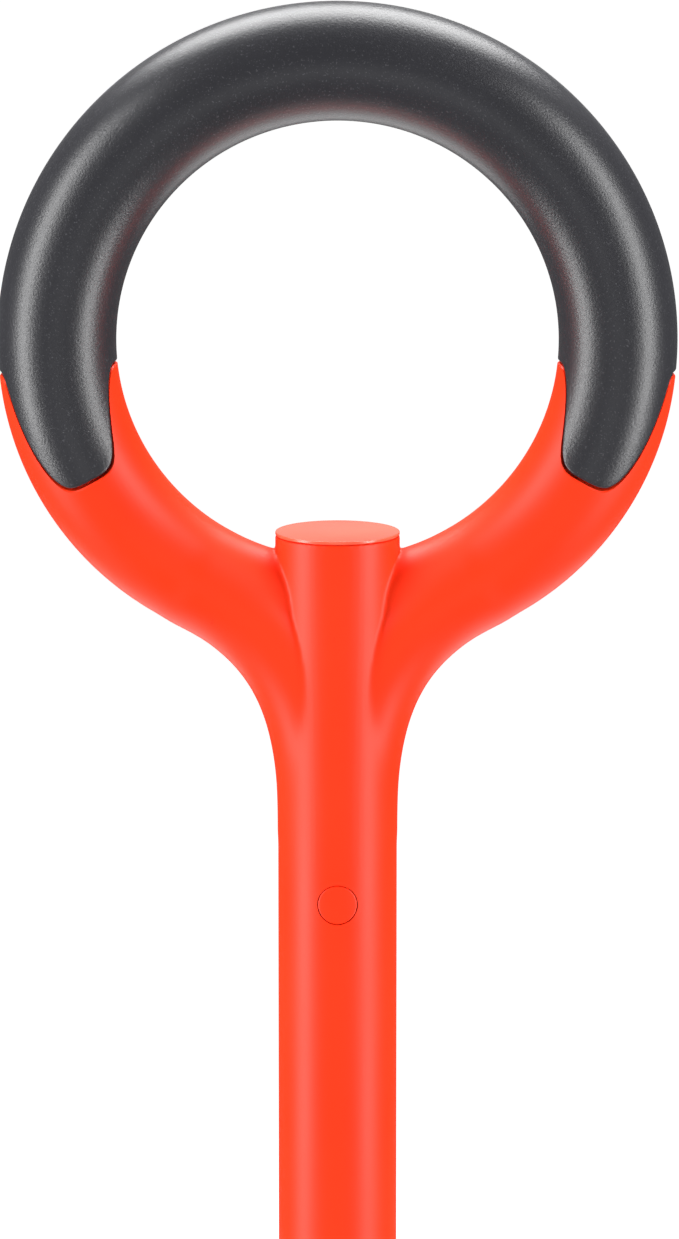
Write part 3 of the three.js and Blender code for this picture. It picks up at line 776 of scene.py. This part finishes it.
def upper_moulding():
    lines = [shoulder_line(side) for side in (1, -1)]
    points = [p for line in lines for p in line]
    count = len(lines[0])
    edges = [(i, i + 1) for start in (0, count) for i in range(start, start + count - 1)]
    mesh = bpy.data.meshes.new("shoulder_lines")
    mesh.from_pydata(points, edges, [])
    return facing_out(grown_mesh("moulding_skin", mesh, field_tree(), FIELD_SIZES.values()))


blended = upper_moulding()
print("blended skin:", len(blended.polygons), "faces")

# %% [markdown]
# The straight skirt needs no field: it is turned, with many small faces only where the plug's hole
# will be cut. The blended skin is cut off square and its edge bridged to the skirt's, so the two are
# one closed surface. Then the plain cuts are made: the bore for the tube, the holes for the plugs,
# and the step that the soft grip fills, whose edge has a small chamfer to catch the light.

# %% Skirt, bore, plug holes and the step for the grip
PLUG_Z = middle_z("bolt_plug_front")
PLUG_R = high("bolt_plug_front")[0]
SIDES = 144


def add_skirt(mesh):
    cut_z = RING_Z - STEM_CUT
    work = bmesh.new()
    work.from_mesh(mesh)
    geometry = work.verts[:] + work.edges[:] + work.faces[:]
    plane = {"plane_co": (0, 0, cut_z), "plane_no": (0, 0, -1)}
    bmesh.ops.bisect_plane(work, geom=geometry, clear_outer=True, **plane)
    rim = [e for e in work.edges if e.is_boundary]
    fine = list(np.arange(cut_z - 1 * MM, PLUG_Z - 9 * MM, -1.5 * MM))
    heights = [*fine, *np.linspace(PLUG_Z - 10 * MM, SKIRT_Z + 0.6 * MM, 12)]
    radii = [SHAFT_R] * len(heights) + [SHAFT_R - 0.5 * MM]
    heights.append(SKIRT_Z)
    rings = []
    for r, h in zip(radii, heights):
        turn = [2 * math.pi * k / SIDES for k in range(SIDES)]
        rings.append([work.verts.new((r * math.cos(t), r * math.sin(t), h)) for t in turn])
    for upper, lower in zip(rings, rings[1:]):
        for k in range(SIDES):
            work.faces.new((upper[k], lower[k], lower[(k + 1) % SIDES], upper[(k + 1) % SIDES]))
    work.faces.new(rings[-1])
    work.edges.ensure_lookup_table()
    top = [work.edges.get((rings[0][k], rings[0][(k + 1) % SIDES])) for k in range(SIDES)]
    bmesh.ops.bridge_loops(work, edges=rim + top)
    bmesh.ops.triangulate(work, faces=[f for f in work.faces if len(f.verts) > 4])
    work.to_mesh(mesh)
    work.free()
    return facing_out(mesh)


def grip_space():
    """What is cut away for the grip: everything round the ring above the grip's edge."""
    columns = 240
    turn = all_round(columns)
    end = grip_end(turn)
    groove = np.degrees(GROOVE / (BORE + TUBE))
    chamfer = np.degrees(0.45 * MM / (BORE + TUBE))
    radii = tube_radius(end)
    deep = 11 * MM
    flat = np.full(columns, 92.5)
    end_rows = [
        (flat, radii - 0.01 * MM),
        (flat, radii - deep),
        (end + groove, radii - deep - 0.5 * MM),
        (end + groove, np.full(columns, 0.4 * MM)),
        (end + groove + chamfer, np.full(columns, -0.05 * MM)),
        (end + groove + chamfer, np.full(columns, -6 * MM)),
    ]
    over = [(-end * s, np.full(columns, -6 * MM)) for s in np.cos(np.linspace(0, np.pi, 30))[1:-1]]
    rows = [(-angle, depth) for angle, depth in end_rows] + over + end_rows[::-1]
    return skin("grip_space", np.array([ring_point(a, turn, d) for a, d in rows]), cap_ends=True)


def core_arc():
    """The slim core that runs on under the grip and into both arms."""
    columns = 64
    turn = all_round(columns)
    rows = [ring_point(np.full(columns, a), turn, CORE_WALL) for a in np.linspace(-127, 127, 120)]
    return skin("core", np.array(rows), cap_ends=True)


def cylinder_between(name, radius, start, end, axis="z", place=(0, 0, 0), sides=96):
    return turned(name, [(0, start), (radius, start), (radius, end), (0, end)], sides, axis, place)


def plug_hole(side):
    mouth = PLUG_R + 0.22 * MM
    start, end = sorted((side * (CORE_R - 4 * MM), side * (SHAFT_R + 5 * MM)))
    return cylinder_between("plug_hole", mouth, start, end, "y", (0, 0, PLUG_Z))


handle_mesh = add_skirt(blended)
handle_mesh = boolean(handle_mesh, grip_space())
handle_mesh = boolean(handle_mesh, core_arc(), "UNION")
bore = cylinder_between("bore", CORE_R + GAP, SKIRT_Z - 5 * MM, LOW_SEAT + 5 * MM, sides=SIDES)
handle_mesh = boolean(handle_mesh, bore)
for side in (-1, 1):
    handle_mesh = boolean(handle_mesh, plug_hole(side))
piece("moulded_handle", handle_mesh, "handle_frame")

# %% [markdown]
# ## The soft grip
#
# The grip is a sleeve whose two ends follow the tongues' curve. It is laid out as a grid: across the
# sleeve's outside, round its soft edge, and back along the inside, so its edge stays smooth and even.

# %% Soft grip
def soft_grip():
    columns, steps = 160, 200
    turn = all_round(columns)
    end = grip_end(turn)
    soft = 0.8 * MM
    per_mm = np.degrees(1 / (BORE + TUBE))
    edge = [
        (-soft * (1 - math.sin(t)) * per_mm, soft * (1 - math.cos(t)))
        for t in np.linspace(0, math.pi / 2, 7)
    ]
    edge.append((0, GRIP_WALL - 0.2 * MM))
    inner_steps = 60
    rows = []
    for s in np.linspace(-1, 1, steps + 1):
        rows.append(ring_point((end + edge[0][0]) * s, turn, np.zeros(columns)))
    for back, depth in edge[1:]:
        rows.append(ring_point(end + back, turn, np.full(columns, depth)))
    for s in np.linspace(1, -1, inner_steps + 1):
        rows.append(ring_point((end - 0.1 * MM * per_mm) * s, turn, np.full(columns, GRIP_WALL)))
    for back, depth in edge[:0:-1]:
        rows.append(ring_point(-end - back, turn, np.full(columns, depth)))
    return skin("soft_grip", np.array(rows), wrap_rows=True)


piece("soft_ring_grip", soft_grip(), "ring_grip", sharp=50)

# %% [markdown]
# ## Cap, plugs and shaft
#
# The cap on the boss is a shallow turned disc: flat on top, with a rim whose edge is softly rounded.
# A plug fills the hole over the handle bolt and is curved like the shaft, so that it lies flush.

# %% Cap and plugs
def cap_mesh():
    low_rim = BOSS_Z - 0.95 * MM
    spigot = low("hub_cap")[2]
    profile = [
        (0, spigot),
        (CORE_R, spigot),
        (CORE_R, low_rim),
        (BOSS_R, low_rim),
        (BOSS_R, BOSS_Z),
        (0, BOSS_Z),
    ]
    return turned("cap", rounded(profile, 0.35 * MM), 128)


def plug_mesh(side):
    """A disc wrapped on the shaft's curve. Its rim rolls down a little, which leaves a fine dark line."""
    rings, sides = 14, 96
    deep = CORE_R + GAP + 2 * MM + GAP
    profile = [(PLUG_R * k / rings, 0) for k in range(rings)]
    profile += [(PLUG_R - 0.3 * MM, 0.0), (PLUG_R - 0.1 * MM, 0.08 * MM), (PLUG_R, 0.3 * MM)]
    rows = []
    for reach, sunk in profile:
        turn = np.linspace(0, 2 * np.pi, sides, endpoint=False)
        x, z = reach * np.cos(turn), reach * np.sin(turn)
        rows.append(np.stack([x, side * (np.sqrt(SHAFT_R**2 - x**2) - sunk), z + PLUG_Z], axis=-1))
    for reach in (PLUG_R, 0):
        x, z = reach * np.cos(turn), reach * np.sin(turn)
        rows.append(np.stack([x, np.full(sides, side * deep), z + PLUG_Z], axis=-1))
    return skin("plug", np.array(rows))


piece("boss_cap", cap_mesh(), "hub_cap")
piece("front_plug", plug_mesh(-1), "bolt_plug_front")
piece("back_plug", plug_mesh(1), "bolt_plug_back")

# %% [markdown]
# The jacket is an extruded sleeve with its ends broken by a small radius, and the ferrule is a steel
# cone rolled over into a bead at its top.

# %% Shaft jacket and ferrule
def jacket_mesh():
    bottom, top = low("shaft_jacket")[2], high("shaft_jacket")[2]
    inner = CORE_R + GAP
    profile = [(inner, bottom), (SHAFT_R, bottom), (SHAFT_R, top), (inner, top)]
    return turned("jacket", rounded(profile, 0.6 * MM), SIDES)


PINS = ("ferrule_pin_upper", "ferrule_pin_lower")
PIN_HOLE_R = 3.3 * MM
FERRULE_TIP_R = 10.2 * MM
FERRULE_R = 16.2 * MM


def ferrule_mesh():
    bottom, top = low("ferrule")[2], high("ferrule")[2]
    bead_r = high("ferrule")[0]
    core_end = low("shaft_core")[2]
    rod = high("neck")[0] + GAP
    profile = [
        (rod, bottom),
        (FERRULE_TIP_R, bottom),
        (FERRULE_R, core_end),
        (FERRULE_R, top - 8 * MM),
        (bead_r, top - 6 * MM),
        (bead_r, top - 1.2 * MM),
        (SHAFT_R, top),
        (CORE_R + GAP, top),
        (CORE_R + GAP, core_end - GAP),
        (rod, core_end - GAP),
    ]
    mesh = turned("ferrule", rounded(profile, 2.2 * MM, 6), 128)
    for node in PINS:
        place = (0, 0, middle_z(node))
        hole = cylinder_between("pin_hole", PIN_HOLE_R, -25 * MM, 25 * MM, "y", place, 48)
        mesh = boolean(mesh, hole)
    return mesh


piece("jacket_sleeve", jacket_mesh(), "shaft_jacket")
piece("steel_ferrule", ferrule_mesh(), "ferrule")

# %% [markdown]
# ## Neck
#
# The neck is one bar. It starts as a round tang inside the ferrule, bends forward, and is forged flat
# into the tongue. Its section is a superellipse, whose power slides from 2, a circle, to 8, nearly a
# rectangle, while its width grows and its thickness shrinks.

# %% Neck and tongue
ROD_R = high("neck")[0]
NECK_ANGLE = math.radians(40)
SWING = math.radians(12)
NECK_REACH = 72 * MM
NECK_BEND = 60 * MM
TONGUE_HALF = 4 * MM
TONGUE_R = 14 * MM
STOP_REACH = 24 * MM
FORGED_TO, FORGED_FROM = 37 * MM, 54 * MM


def head_frame(angle):
    """The frame whose origin is the pivot and whose -Z points along the tongue or the stirrup."""
    return Matrix.Translation(PIVOT) @ Matrix.Rotation(-angle, 4, "X")


def smooth(t):
    t = min(1.0, max(0.0, t))
    return t * t * (3 - 2 * t)


def neck_mesh():
    columns = 64
    stations = []
    bend_z = PIVOT.z + NECK_REACH * math.cos(NECK_ANGLE) + NECK_BEND * math.sin(NECK_ANGLE)
    for z in (high("neck")[2], bend_z + 20 * MM):
        stations.append((Vector((0, 0, z)), 0.0, ROD_R, ROD_R, 2))
    for angle in np.linspace(0, NECK_ANGLE, 33):
        place = Vector((0, -NECK_BEND * (1 - math.cos(angle)), bend_z - NECK_BEND * math.sin(angle)))
        stations.append((place, angle, ROD_R, ROD_R, 2))
    frame_at_tongue = head_frame(NECK_ANGLE)
    tip = [TONGUE_R * -math.sin(t) for t in np.linspace(0, math.pi / 2 - 0.05, 14)]
    above = np.linspace(FORGED_FROM + 8 * MM, STOP_REACH + 4 * MM, 40)
    beside = np.linspace(STOP_REACH, 2 * MM, 12)
    for reach in (*above, *beside, *tip):
        flat = smooth((FORGED_FROM + 4 * MM - reach) / (FORGED_FROM + 4 * MM - FORGED_TO))
        spread = smooth((FORGED_FROM - reach) / (FORGED_FROM - STOP_REACH - 4 * MM))
        width = ROD_R + (TONGUE_R - ROD_R) * spread
        if reach < 0:
            width = math.sqrt(max(0, TONGUE_R**2 - reach**2))
        thick = ROD_R + (TONGUE_HALF - ROD_R) * flat
        place = frame_at_tongue @ Vector((0, 0, reach))
        stations.append((place, NECK_ANGLE, thick, width, 2 + 8 * flat))
    grid = []
    for place, angle, half_x, half_y, power in stations:
        across = Vector((0, math.cos(angle), -math.sin(angle)))
        ring = []
        for k in range(columns):
            t = 2 * math.pi * k / columns
            c, s = math.cos(t), math.sin(t)
            x = half_x * math.copysign(abs(c) ** (2 / power), c)
            y = half_y * math.copysign(abs(s) ** (2 / power), s)
            ring.append(place + Vector((x, 0, 0)) + across * y)
        grid.append(ring)
    mesh = skin("neck", np.array(grid), cap_ends=True)
    for reach, radius in ((0, 7.25 * MM), (STOP_REACH, 3.25 * MM)):
        hole = cylinder_between("hole", radius, -10 * MM, 10 * MM, "x", (0, 0, reach), 64)
        hole.transform(frame_at_tongue)
        mesh = boolean(mesh, hole)
    return mesh


piece("forged_neck", neck_mesh(), "neck")

# %% [markdown]
# ## Stirrup
#
# The stirrup is one strip bent to a line with rounded corners. Its section changes along the line:
# plain with softly sheared edges at the ears and sides, and ground to a thin edge front and back
# along the blade. Writing the section as a function of the way along lets the grinding run out
# smoothly before each corner, and the same function fills the `ground` attribute.

# %% Stirrup
STRIP = 3 * MM
STRIP_WIDTH = 25 * MM
BLADE_DROP = 110 * MM
BLADE_WIDTH = 160 * MM
EAR_X = 7.5 * MM
EAR_RISE = 36 * MM
CORNERS = [
    (EAR_X, EAR_RISE, 0),
    (EAR_X, -20 * MM, 12 * MM),
    (73 * MM, -50 * MM, 15 * MM),
    ((BLADE_WIDTH - STRIP) / 2, -BLADE_DROP, 11 * MM),
]
BEVEL = 6.5 * MM
EDGE_LAND = 0.3 * MM
GROUND_MARKS = (0, 0, 0, 0, 1, 0.42, 0, 0, 0.42, 1)  # at each point of the section


def bent_line():
    """Places, normals and headings along the strip, with an even step on straights and bends."""
    corners = CORNERS + [(-x, z, r) for x, z, r in reversed(CORNERS)]
    places = [Vector((x, z)) for x, z, _ in corners]
    line = []

    def straight(start, end):
        count = max(1, round((end - start).length / (2 * MM)))
        heading = (end - start).normalized()
        for k in range(count):
            line.append((start.lerp(end, k / count), heading))

    last = places[0]
    for i in range(1, len(corners) - 1):
        before = (places[i] - places[i - 1]).normalized()
        after = (places[i + 1] - places[i]).normalized()
        turn = math.atan2(before.x * after.y - before.y * after.x, before.dot(after))
        radius = corners[i][2]
        setback = radius * math.tan(abs(turn) / 2)
        start = places[i] - before * setback
        straight(last, start)
        side = math.copysign(1, turn)
        centre = start + Vector((-before.y, before.x)) * side * radius
        for k in range(12):
            angle = turn * k / 12
            spun = Matrix.Rotation(angle, 2)
            line.append((centre + spun @ (start - centre), spun @ before))
        last = places[i] + after * setback
    straight(last, places[-1])
    line.append((places[-1], (places[-1] - last).normalized()))
    return line


def strip_section(half_width, grind):
    """Half the strip's section, as (across the width, share of the thickness) from edge to edge."""
    soft, plain = 0.35 * MM, 1 - grind
    sheared = soft * plain
    brink = max(STRIP * plain + EDGE_LAND * grind - sheared, EDGE_LAND)
    shoulder = half_width - max(BEVEL * grind, soft)
    low_side = [(-half_width, sheared), (-half_width + soft, 0)]
    low_side += [(half_width - soft, 0), (half_width, sheared)]
    top_side = [(x, STRIP) for x in (shoulder, 0.3 * half_width, -0.3 * half_width, -shoulder)]
    return [*low_side, (half_width, brink), *top_side, (-half_width, brink)]


def stirrup_mesh():
    line = bent_line()
    foot = BLADE_WIDTH / 2 - CORNERS[3][2] - STRIP
    grid, ground = [], []
    for place, heading in line:
        rise = EAR_RISE - place.y
        half = STRIP_WIDTH / 2
        if rise < half:
            half = math.sqrt(max(1e-9, half**2 - (half - max(rise, 0.15 * MM)) ** 2))
        on_blade = place.y < -BLADE_DROP + 1 * MM
        grind = smooth((foot - abs(place.x)) / (5 * MM)) if on_blade else 0.0
        outward = Vector((heading.y, -heading.x))
        section = strip_section(half, grind)
        ring = []
        for y, up in section:
            offset = outward * (STRIP / 2 - up)
            ring.append((place.x + offset.x, y, place.y + offset.y))
        grid.append(ring)
        ground.extend(grind * mark for mark in GROUND_MARKS)
    points = np.array(grid)
    mesh = skin("stirrup", points, cap_ends=True)
    return mesh, points.reshape(-1, 3), np.array(ground)


def paint_ground(mesh, points, ground):
    """Stores how ground each vertex is, from the nearest point of the section grid."""
    tree = KDTree(len(points))
    for i, p in enumerate(points):
        tree.insert(p, i)
    tree.balance()
    layer = mesh.attributes.new("ground", "FLOAT", "POINT")
    layer.data.foreach_set("value", [ground[tree.find(v.co)[1]] for v in mesh.vertices])


def slot_mesh():
    """An arc-shaped bar through both ears, the path of the stop bolt."""
    half = 3.3 * MM
    reach = SWING + 0.3 * MM / STOP_REACH
    first, last = math.pi / 2 - reach, math.pi / 2 + reach

    def arc(radius, start, end, count, centre=(0, 0)):
        turns = np.linspace(start, end, count)
        return [(centre[0] + radius * math.cos(t), centre[1] + radius * math.sin(t)) for t in turns]

    def tip(angle):
        return (STOP_REACH * math.cos(angle), STOP_REACH * math.sin(angle))

    outline = arc(STOP_REACH + half, first, last, 13)
    outline += arc(half, last, last + math.pi, 9, tip(last))[1:-1]
    outline += arc(STOP_REACH - half, last, first, 13)
    outline += arc(half, first + math.pi, first + 2 * math.pi, 9, tip(first))[1:-1]
    grid = np.array([[(x, y, z) for y, z in outline] for x in (-14 * MM, 14 * MM)])
    return skin("slot", grid, cap_ends=True)


def make_stirrup():
    mesh, points, ground = stirrup_mesh()
    hole = cylinder_between("pivot_hole", 5.3 * MM, -14 * MM, 14 * MM, "x", (0, 0, 0), 64)
    mesh = boolean(boolean(mesh, hole), slot_mesh())
    paint_ground(mesh, points, ground)
    mesh.transform(head_frame(NECK_ANGLE - SWING))
    piece("bent_stirrup", mesh, "stirrup", sharp=28)


make_stirrup()

# %% [markdown]
# ## Fasteners
#
# Bolts, nuts and rivets repeat, so three Geometry Nodes trees make them all. The first makes a
# six-sided head with the chamfer that turning leaves on its corners: what a hexagonal prism and a
# wide cone have in common. One tree serves every size of bolt.

# %% Six-sided head
def head_tree():
    board, given = open_tree("six_sided_head", "Across Flats", "Height")
    corner = given["Across Flats"] / math.sqrt(3)
    height = given["Height"]
    prism_sizes = {"Vertices": 6, "Radius Top": corner, "Radius Bottom": corner, "Depth": height}
    prism = board.add("GeometryNodeMeshCone", {"fill_type": "NGON"}, prism_sizes)
    cone_sizes = {
        "Vertices": 64,
        "Radius Top": corner * 0.885,
        "Radius Bottom": corner * 4.45,
        "Depth": corner * 2,
    }
    cone = board.add("GeometryNodeMeshCone", {"fill_type": "NGON"}, cone_sizes)
    drop = board.add("ShaderNodeCombineXYZ", {}, {"Z": height - corner * 2})
    cone = board.add("GeometryNodeTransform", {}, {"Geometry": cone, "Translation": drop})
    both = {"Mesh 2": [prism, cone]}
    head = board.add("GeometryNodeMeshBoolean", {"operation": "INTERSECT", "solver": "EXACT"}, both)
    return close_tree(board, head, "zinc")


HEAD_TREE = head_tree()


def hex_mesh(across, height):
    """A head standing on its bearing face, chamfered at its free end."""
    seed = bpy.data.meshes.new("seed")
    return facing_out(grown_mesh("six_sided", seed, HEAD_TREE, (across, height)))


print("a six-sided head has", len(hex_mesh(17 * MM, 6.4 * MM).polygons), "faces")

# %% [markdown]
# The second tree bends a flat grid into a threaded shank. One way across the grid becomes the turn
# round the axis and the other the height, and the radius dips along a line that climbs one pitch a
# turn. The first and last rows shrink to the axis, which closes the ends.

# %% Threaded shank
def flat_grid(board, sides, rows):
    """A flat grid, where each of its points is across and along it, and the turn round the axis."""
    sheet = {"Size X": 1, "Size Y": 1, "Vertices X": sides, "Vertices Y": rows}
    grid = board.add("GeometryNodeMeshGrid", {}, sheet)
    u, v, _ = board.axes(board.add("GeometryNodeInputPosition"))
    return grid, u, v, (u + 0.5) * (2 * math.pi)


def bent_grid(board, grid, **point):
    """The grid with its points moved to X, Y and Z, and its edges and ends merged shut."""
    place = board.add("ShaderNodeCombineXYZ", {}, point)
    bent = board.add("GeometryNodeSetPosition", {}, {"Geometry": grid, "Position": place})
    values = {"Geometry": bent, "Distance": 0.002 * MM}
    return board.add("GeometryNodeMergeByDistance", {}, values)


def shank_tree(sides=49, rows=240):
    names = ("Radius", "Length", "Pitch", "Thread From", "Thread Depth")
    board, given = open_tree("threaded_shank", *names)
    grid, u, v, turn = flat_grid(board, sides, rows)
    row = (v + 0.5) * (rows - 1)
    inside = ((row - 1) / (rows - 3)).math("MAXIMUM", 0).math("MINIMUM", 1)
    height = inside * given["Length"]
    climb = height / given["Pitch"] - (u + 0.5)
    wave = (climb * (2 * math.pi)).math("COSINE") * 0.5 + 0.5
    threaded = height.math("GREATER_THAN", given["Thread From"])
    to_end = given["Length"] - height
    chamfer = (0.8 * MM - to_end).math("MAXIMUM", 0)
    radius = given["Radius"] - wave * threaded * given["Thread Depth"] - chamfer
    kept = row.math("GREATER_THAN", 0.5) * row.math("LESS_THAN", rows - 1.5)
    radius = radius * kept
    shank = bent_grid(board, grid, X=radius * turn.math("COSINE"), Y=radius * turn.math("SINE"), Z=height)
    return close_tree(board, shank, "zinc")


SHANK_TREE = shank_tree()


def shank_mesh(radius, length, pitch, thread_from):
    sizes = (radius, length, pitch, thread_from, 0.4 * pitch)
    return facing_out(grown_mesh("shank", bpy.data.meshes.new("seed"), SHANK_TREE, sizes))


print("a threaded shank has", len(shank_mesh(5 * MM, 34 * MM, 1.5 * MM, 20 * MM).polygons), "faces")

# %% [markdown]
# The bolts and nuts lie along X. Their places come from the boxes of the CAD parts that they stand
# for, and the hinge's own frame turns them with the tongue or with the stirrup.

# %% Bolts and nuts
TONGUE_FRAME = head_frame(NECK_ANGLE)
STIRRUP_FRAME = head_frame(NECK_ANGLE - SWING)


def along_x(mesh, start, side=1):
    """Lays a mesh that stands on the XY plane along X, starting at start and growing to that side."""
    turn = Matrix.Identity(4) if side > 0 else Matrix.Rotation(math.pi, 4, "Y")
    mesh.transform(Matrix.Translation((start, 0, 0)) @ turn @ AXES["x"])
    return mesh


def bolt_mesh(node, across, head, radius, pitch, ear):
    """A bolt with its head at -X, with a thin washer face under the head."""
    head_end, tip = low(node)[0], high(node)[0]
    seat = head_end + head
    face = 0.35 * MM
    hexagon = along_x(hex_mesh(across, head - face), seat - face, -1)
    collar = cylinder_between("face", 0.47 * across, seat - face - 0.1 * MM, seat, "x", sides=64)
    shank_start = seat - head / 2
    shank = along_x(shank_mesh(radius, tip - shank_start, pitch, ear - shank_start), shank_start)
    return boolean(boolean(hexagon, collar, "UNION"), shank, "UNION")


def nut_mesh(node, across, radius, locking):
    """A nut. A locking one ends in a low round collar that holds its nylon ring."""
    start, end = low(node)[0], high(node)[0]
    if not locking:
        body = along_x(hex_mesh(across, end - start), start)
    else:
        body = along_x(hex_mesh(across, 0.72 * (end - start)), start)
        profile = [(0, start + 1 * MM), (0.46 * across, start + 1 * MM), (0.46 * across, end), (0, end)]
        collar = turned("collar", rounded(profile, 1.4 * MM, 6), 96, "x")
        body = boolean(body, collar, "UNION")
    return boolean(body, cylinder_between("bore", radius + 0.2 * MM, start - 1, end + 1, "x", sides=64))


def placed(mesh, frame_of, reach=0):
    mesh.transform(frame_of @ Matrix.Translation((0, 0, reach)))
    return mesh


def round_washer(node, inner):
    """A flat ring between the X faces of its node, with softened edges."""
    (start, *_), (end, top_y, _) = low(node), high(node)
    outer = top_y - PIVOT.y
    profile = [(inner, start), (outer, start), (outer, end), (inner, end)]
    return placed(turned("washer", rounded(profile, 0.35 * MM), 96, "x"), TONGUE_FRAME)


pivot_bolt = bolt_mesh("pivot_bolt", 17 * MM, 6.4 * MM, 5 * MM, 1.5 * MM, 9 * MM)
pivot_nut = nut_mesh("pivot_nut", 17 * MM, 5 * MM, True)
stop_bolt = bolt_mesh("stop_bolt", 10 * MM, 4 * MM, 3 * MM, 1 * MM, 8 * MM)
stop_nut = nut_mesh("stop_nut", 10 * MM, 3 * MM, False)
for name, mesh, node, frame_of, reach in (
    ("pivot_bolt_m10", pivot_bolt, "pivot_bolt", STIRRUP_FRAME, 0),
    ("pivot_lock_nut", pivot_nut, "pivot_nut", STIRRUP_FRAME, 0),
    ("stop_bolt_m6", stop_bolt, "stop_bolt", TONGUE_FRAME, STOP_REACH),
    ("stop_plain_nut", stop_nut, "stop_nut", TONGUE_FRAME, STOP_REACH),
):
    piece(name, placed(mesh, frame_of, reach), node, sharp=25)
for side in ("left", "right"):
    piece(f"{side}_wear_ring", round_washer(f"wear_washer_{side}", 7.3 * MM), f"wear_washer_{side}")
    piece(f"{side}_flat_washer", round_washer(f"pivot_washer_{side}", 5.3 * MM), f"pivot_washer_{side}")

# %% [markdown]
# The third tree bends a grid into a rivet with a shallow dome at each end, and puts a copy on every
# point of the mesh that it is given. Two points along the ferrule make both of its rivets at once.

# %% Rivets of the ferrule
def rivet_tree(sides=65, rows=61):
    names = ("Head Radius", "Head Height", "Shank Radius", "Half Grip")
    board, given = open_tree("domed_rivets", *names, takes_mesh=True)
    grid, _, v, turn = flat_grid(board, sides, rows)
    end = v.math("SIGN")
    from_end = 0.5 - v.math("ABSOLUTE")
    bow = (from_end / 0.4).math("MINIMUM", 1) * (math.pi / 2)
    on_head = from_end.math("LESS_THAN", 0.401)
    radius = on_head * bow.math("SINE") * given["Head Radius"]
    radius = radius + (1 - on_head) * given["Shank Radius"]
    rise = given["Half Grip"] + on_head * bow.math("COSINE") * given["Head Height"]
    x, z = radius * turn.math("COSINE"), radius * turn.math("SINE")
    rivet = bent_grid(board, grid, X=x, Y=end * rise, Z=z)
    copies = {"Points": given["Geometry"], "Instance": rivet}
    return close_tree(board, board.add("GeometryNodeInstanceOnPoints", {}, copies), "zinc")


def rivets():
    seats = mesh_from("seats", [(0, 0, middle_z(pin)) for pin in PINS], [])
    head_radius, reach, _ = high(PINS[0])
    dome = 2.4 * MM
    mesh = grown_mesh("rivets", seats, rivet_tree(), (head_radius, dome, 3 * MM, reach - dome))
    piece("ferrule_rivets", facing_out(mesh), PINS, sharp=40)


rivets()

# %% [markdown]
# ## Parts inside the tool
#
# The tube, the tang's sleeve, the handle bolt with its nut, and the bush are shown as the CAD model
# has them. They sit inside other pieces and need only their finishes.

# %% Finishes for the carried-over parts
for node in ("shaft_core", "tang_plug", "handle_bolt", "handle_nut", "pivot_bush"):
    slot = next(s["material_slot"] for s in frame["record"]["subparts"] if s["node"] == node)
    mesh = frame["nodes"][node].data
    mesh.materials.clear()
    mesh.materials.append(FINISHES[slot])
    print(node, "has the finish of", slot)
